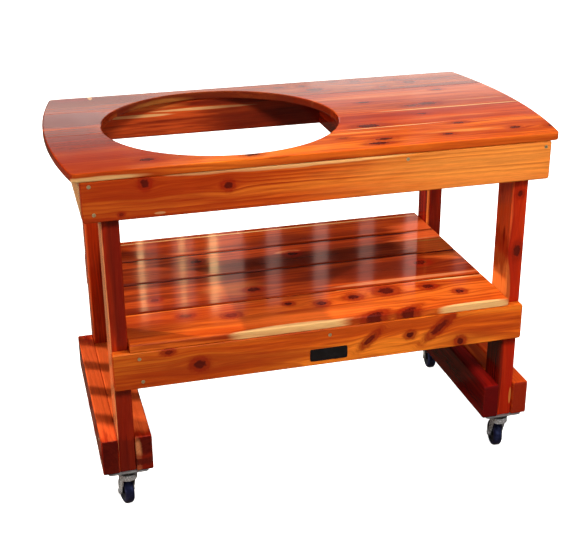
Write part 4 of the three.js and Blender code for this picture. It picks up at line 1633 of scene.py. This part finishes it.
@dataclass
class Studio:
    """Pale floor, soft lights, a mirrored window and the camera at the photograph's angle.

    The sky's strips are (left, right, low, high, glow), and the window's are (middle, width,
    glow, colour). Both hang at the backdrop, behind the table.
    """

    eye: Place = (-0.6625, -2.4659, 1.5251)
    turn: float = -15.07
    look_down: float = 23.25
    roll: float = -0.4
    lens: float = 68.9
    sensor: float = 36.0
    sun_way: Place = (0.86, -0.51, -0.745)
    sun_glow: float = 1.15
    sun_width: float = 1.2
    rails: int = 4
    first_rail: Point = (-0.50, -0.19)
    rail_pitch: float = 0.137
    rail_size: Place = (0.02, 0.040, 0.80)
    rail_round: float = 0.003
    rail_reach: float = 0.7
    rail_colour: Colour = (0.05, 0.05, 0.05)
    floor_size: float = 30.0
    floor_seen: tuple[Colour, Colour] = ((0.95, 0.95, 0.95), (0.93, 0.93, 0.93))
    floor_glow: float = 0.9
    floor_bounce: Colour = (0.08, 0.055, 0.04)
    world_seen: Colour = (0.99, 0.99, 0.99)
    world_light: Colour = (0.018, 0.014, 0.013)
    lamps: tuple[Lamp, ...] = (
        Lamp("key", (1.6, -2.0, 1.45), (0.1, 0.0, 0.6), 1.0, 0.9, 7.0, WARM),
        Lamp("high", (0.2, -2.3, 2.75), (0.1, -0.2, 0.4), 0.9, 0.6, 48.0, WARM),
        Lamp("left_fill", (-3.4, -0.6, 1.3), (0.0, 0.0, 0.6), 1.6, 1.2, 9.5, WARMER),
        Lamp("right_fill", (3.4, 0.8, 1.7), (0.0, 0.0, 0.6), 1.6, 1.2, 5.0, WARM),
        Lamp("over", (-0.2, -1.2, 3.6), (0.0, 0.0, 0.6), 3.0, 2.4, 0.5, FAINT, mirrored=True),
        Lamp("rear_fill", (0.4, 4.2, 4.4), (0.0, 0.0, 0.4), 2.4, 1.6, 2.0, REAR),
        Lamp("rear_low", (0.6, 3.6, 1.6), (0.0, 0.0, 0.5), 1.8, 1.2, 1.2, WARM))
    backdrop: float = 12.0
    sky: tuple[tuple[float, ...], ...] = (
        (-1.0, 3.5, 3.0, 3.95, 0.85), (3.5, 8.0, 3.0, 3.95, 1.6),
        (-1.0, 3.5, 3.95, 4.2, 1.5), (3.5, 5.0, 3.95, 4.2, 0.5), (5.0, 8.0, 3.95, 4.2, 0.7),
        (-1.0, 3.5, 4.2, 4.4, 0.35), (5.0, 8.0, 4.2, 4.35, 0.12))
    side_sky: Place = (3.8, 1.6, 0.4)
    windows: tuple[tuple[float, float, float, Colour], ...] = (
        (1.05, 0.08, 4.2, LAMPLIGHT), (1.19, 0.19, 0.55, SHEEN), (1.63, 0.08, 3.4, LAMPLIGHT),
        (1.65, 0.29, 0.7, SHEEN), (2.08, 0.12, 4.4, LAMPLIGHT), (2.3, 0.43, 1.1, SHEEN),
        (2.96, 0.21, 0.95, SHEEN), (3.67, 0.21, 1.1, SHEEN), (4.37, 0.23, 0.8, SHEEN),
        (5.08, 0.21, 1.4, SHEEN), (5.88, 0.2, 0.6, SHEEN))
    window_middle: float = 5.62
    window_height: float = 1.25

    def floor(self) -> None:
        """Lays the floor, which looks white and bounces little light."""
        mesh = bmesh.new()
        bmesh.ops.create_grid(mesh, x_segments=1, y_segments=1, size=self.floor_size)
        material, g, shader = principled("pale_floor")
        soft = g.step(g.noise(g.place(), 3.0), *SOFT_RANGE)
        seen = g.node("ShaderNodeLightPath").outputs["Is Camera Ray"]
        g.wire(shader, Base_Color=g.mix(seen, self.floor_bounce, g.mix(soft, *self.floor_seen)),
               Emission_Color=g.mix(seen, BLACK, WHITE), Emission_Strength=self.floor_glow,
               Roughness=0.9, Specular_IOR_Level=0.1)
        Maker.add("floor", mesh, material)

    def sun(self) -> None:
        """Lights the table with a low sun, through a row of rails that stripe the left runners."""
        data = bpy.data.lights.new("sun", "SUN")
        data.energy = self.sun_glow * math.pi
        data.angle = math.radians(self.sun_width)
        data.color = SUNLIGHT
        light = bpy.data.objects.new("sun", data)
        way = Vector(self.sun_way)
        light.rotation_euler = way.to_track_quat("-Z", "Y").to_euler()
        light.visible_glossy = False
        bpy.context.scene.collection.objects.link(light)
        material, g, shader = principled("rail_wood")
        g.wire(shader, Base_Color=(*self.rail_colour, 1.0))
        turn = Matrix.Rotation(math.atan2(way.y, way.x), 4, "Z")
        back = Vector((way.x, way.y, 0.0)) * self.rail_reach
        width, depth, height = self.rail_size
        for i in range(self.rails):
            foot = Vector((self.first_rail[0], self.first_rail[1] + self.rail_pitch * i, 0.0)) - back
            mesh = Maker.slab(Maker.rounded(width, depth, self.rail_round), 0.0, height, 0.0,
                              Matrix.Translation(foot) @ turn)
            rail = Maker.add(f"rail_{i + 1}", mesh, material)
            rail.visible_camera = False
            rail.visible_glossy = False
            rail.visible_diffuse = False

    def camera(self) -> None:
        """Places the camera."""
        data = bpy.data.cameras.new("camera")
        data.sensor_width = self.sensor
        data.lens = self.lens
        data.dof.use_dof = False
        camera = bpy.data.objects.new("camera", data)
        camera.matrix_world = (
            Matrix.Translation(self.eye) @ Matrix.Rotation(math.radians(self.turn), 4, "Z")
            @ Matrix.Rotation(math.radians(90 - self.look_down), 4, "X")
            @ Matrix.Rotation(math.radians(self.roll), 4, "Z"))
        bpy.context.scene.collection.objects.link(camera)
        bpy.context.scene.camera = camera

    def world(self) -> None:
        """Makes the surroundings white to the camera and dim to the table."""
        world = bpy.data.worlds.new("studio")
        world.use_nodes = True
        g = Graph(world.node_tree)
        background = world.node_tree.nodes["Background"]
        seen = g.node("ShaderNodeLightPath").outputs["Is Camera Ray"]
        g.wire(background, Color=g.mix(seen, self.world_light, self.world_seen), Strength=1.0)
        bpy.context.scene.world = world

    def mirrored_lights(self) -> None:
        """Hangs the sky's strips round the table and the window behind it."""
        for index, (left, right, low, high, glow) in enumerate(self.sky):
            x, z = (left + right) / 2, (low + high) / 2
            Lamp(f"sky_{index}", (x, self.backdrop, z), (x, 0.0, z), right - left, high - low, glow,
                 HAZE, mirrored=True).hang()
        level, height, glow = self.side_sky
        for index, (x, y) in enumerate(((-1, 0), (1, 0), (0, -1))):
            Lamp(f"side_sky_{index}", (x * self.backdrop, y * self.backdrop, level), (0.0, 0.0, level),
                 self.backdrop, height, glow, mirrored=True).hang()
        level = self.window_middle
        for index, (x, width, glow, colour) in enumerate(self.windows):
            Lamp(f"window_{index}", (x, self.backdrop, level), (x, 0.0, level), width,
                 self.window_height, glow, colour, mirrored=True).hang()

    def build(self) -> None:
        """Builds the studio."""
        self.floor()
        self.camera()
        self.world()
        for lamp in self.lamps:
            lamp.hang()
        self.sun()
        self.mirrored_lights()
        bpy.context.scene.view_settings.view_transform = "Standard"


def main() -> None:
    """Builds every sub-assembly in order."""
    logging.basicConfig(level=logging.INFO, format="%(name)s: %(message)s")
    effects = Effects()
    Studio().build()
    for part in (TopPanel, Frame, Shelf, Screws, BarePlate, Casters):
        part(effects).build()
        LOG.info("%s is done", part.__name__)


if __name__ == "__main__":
    main()
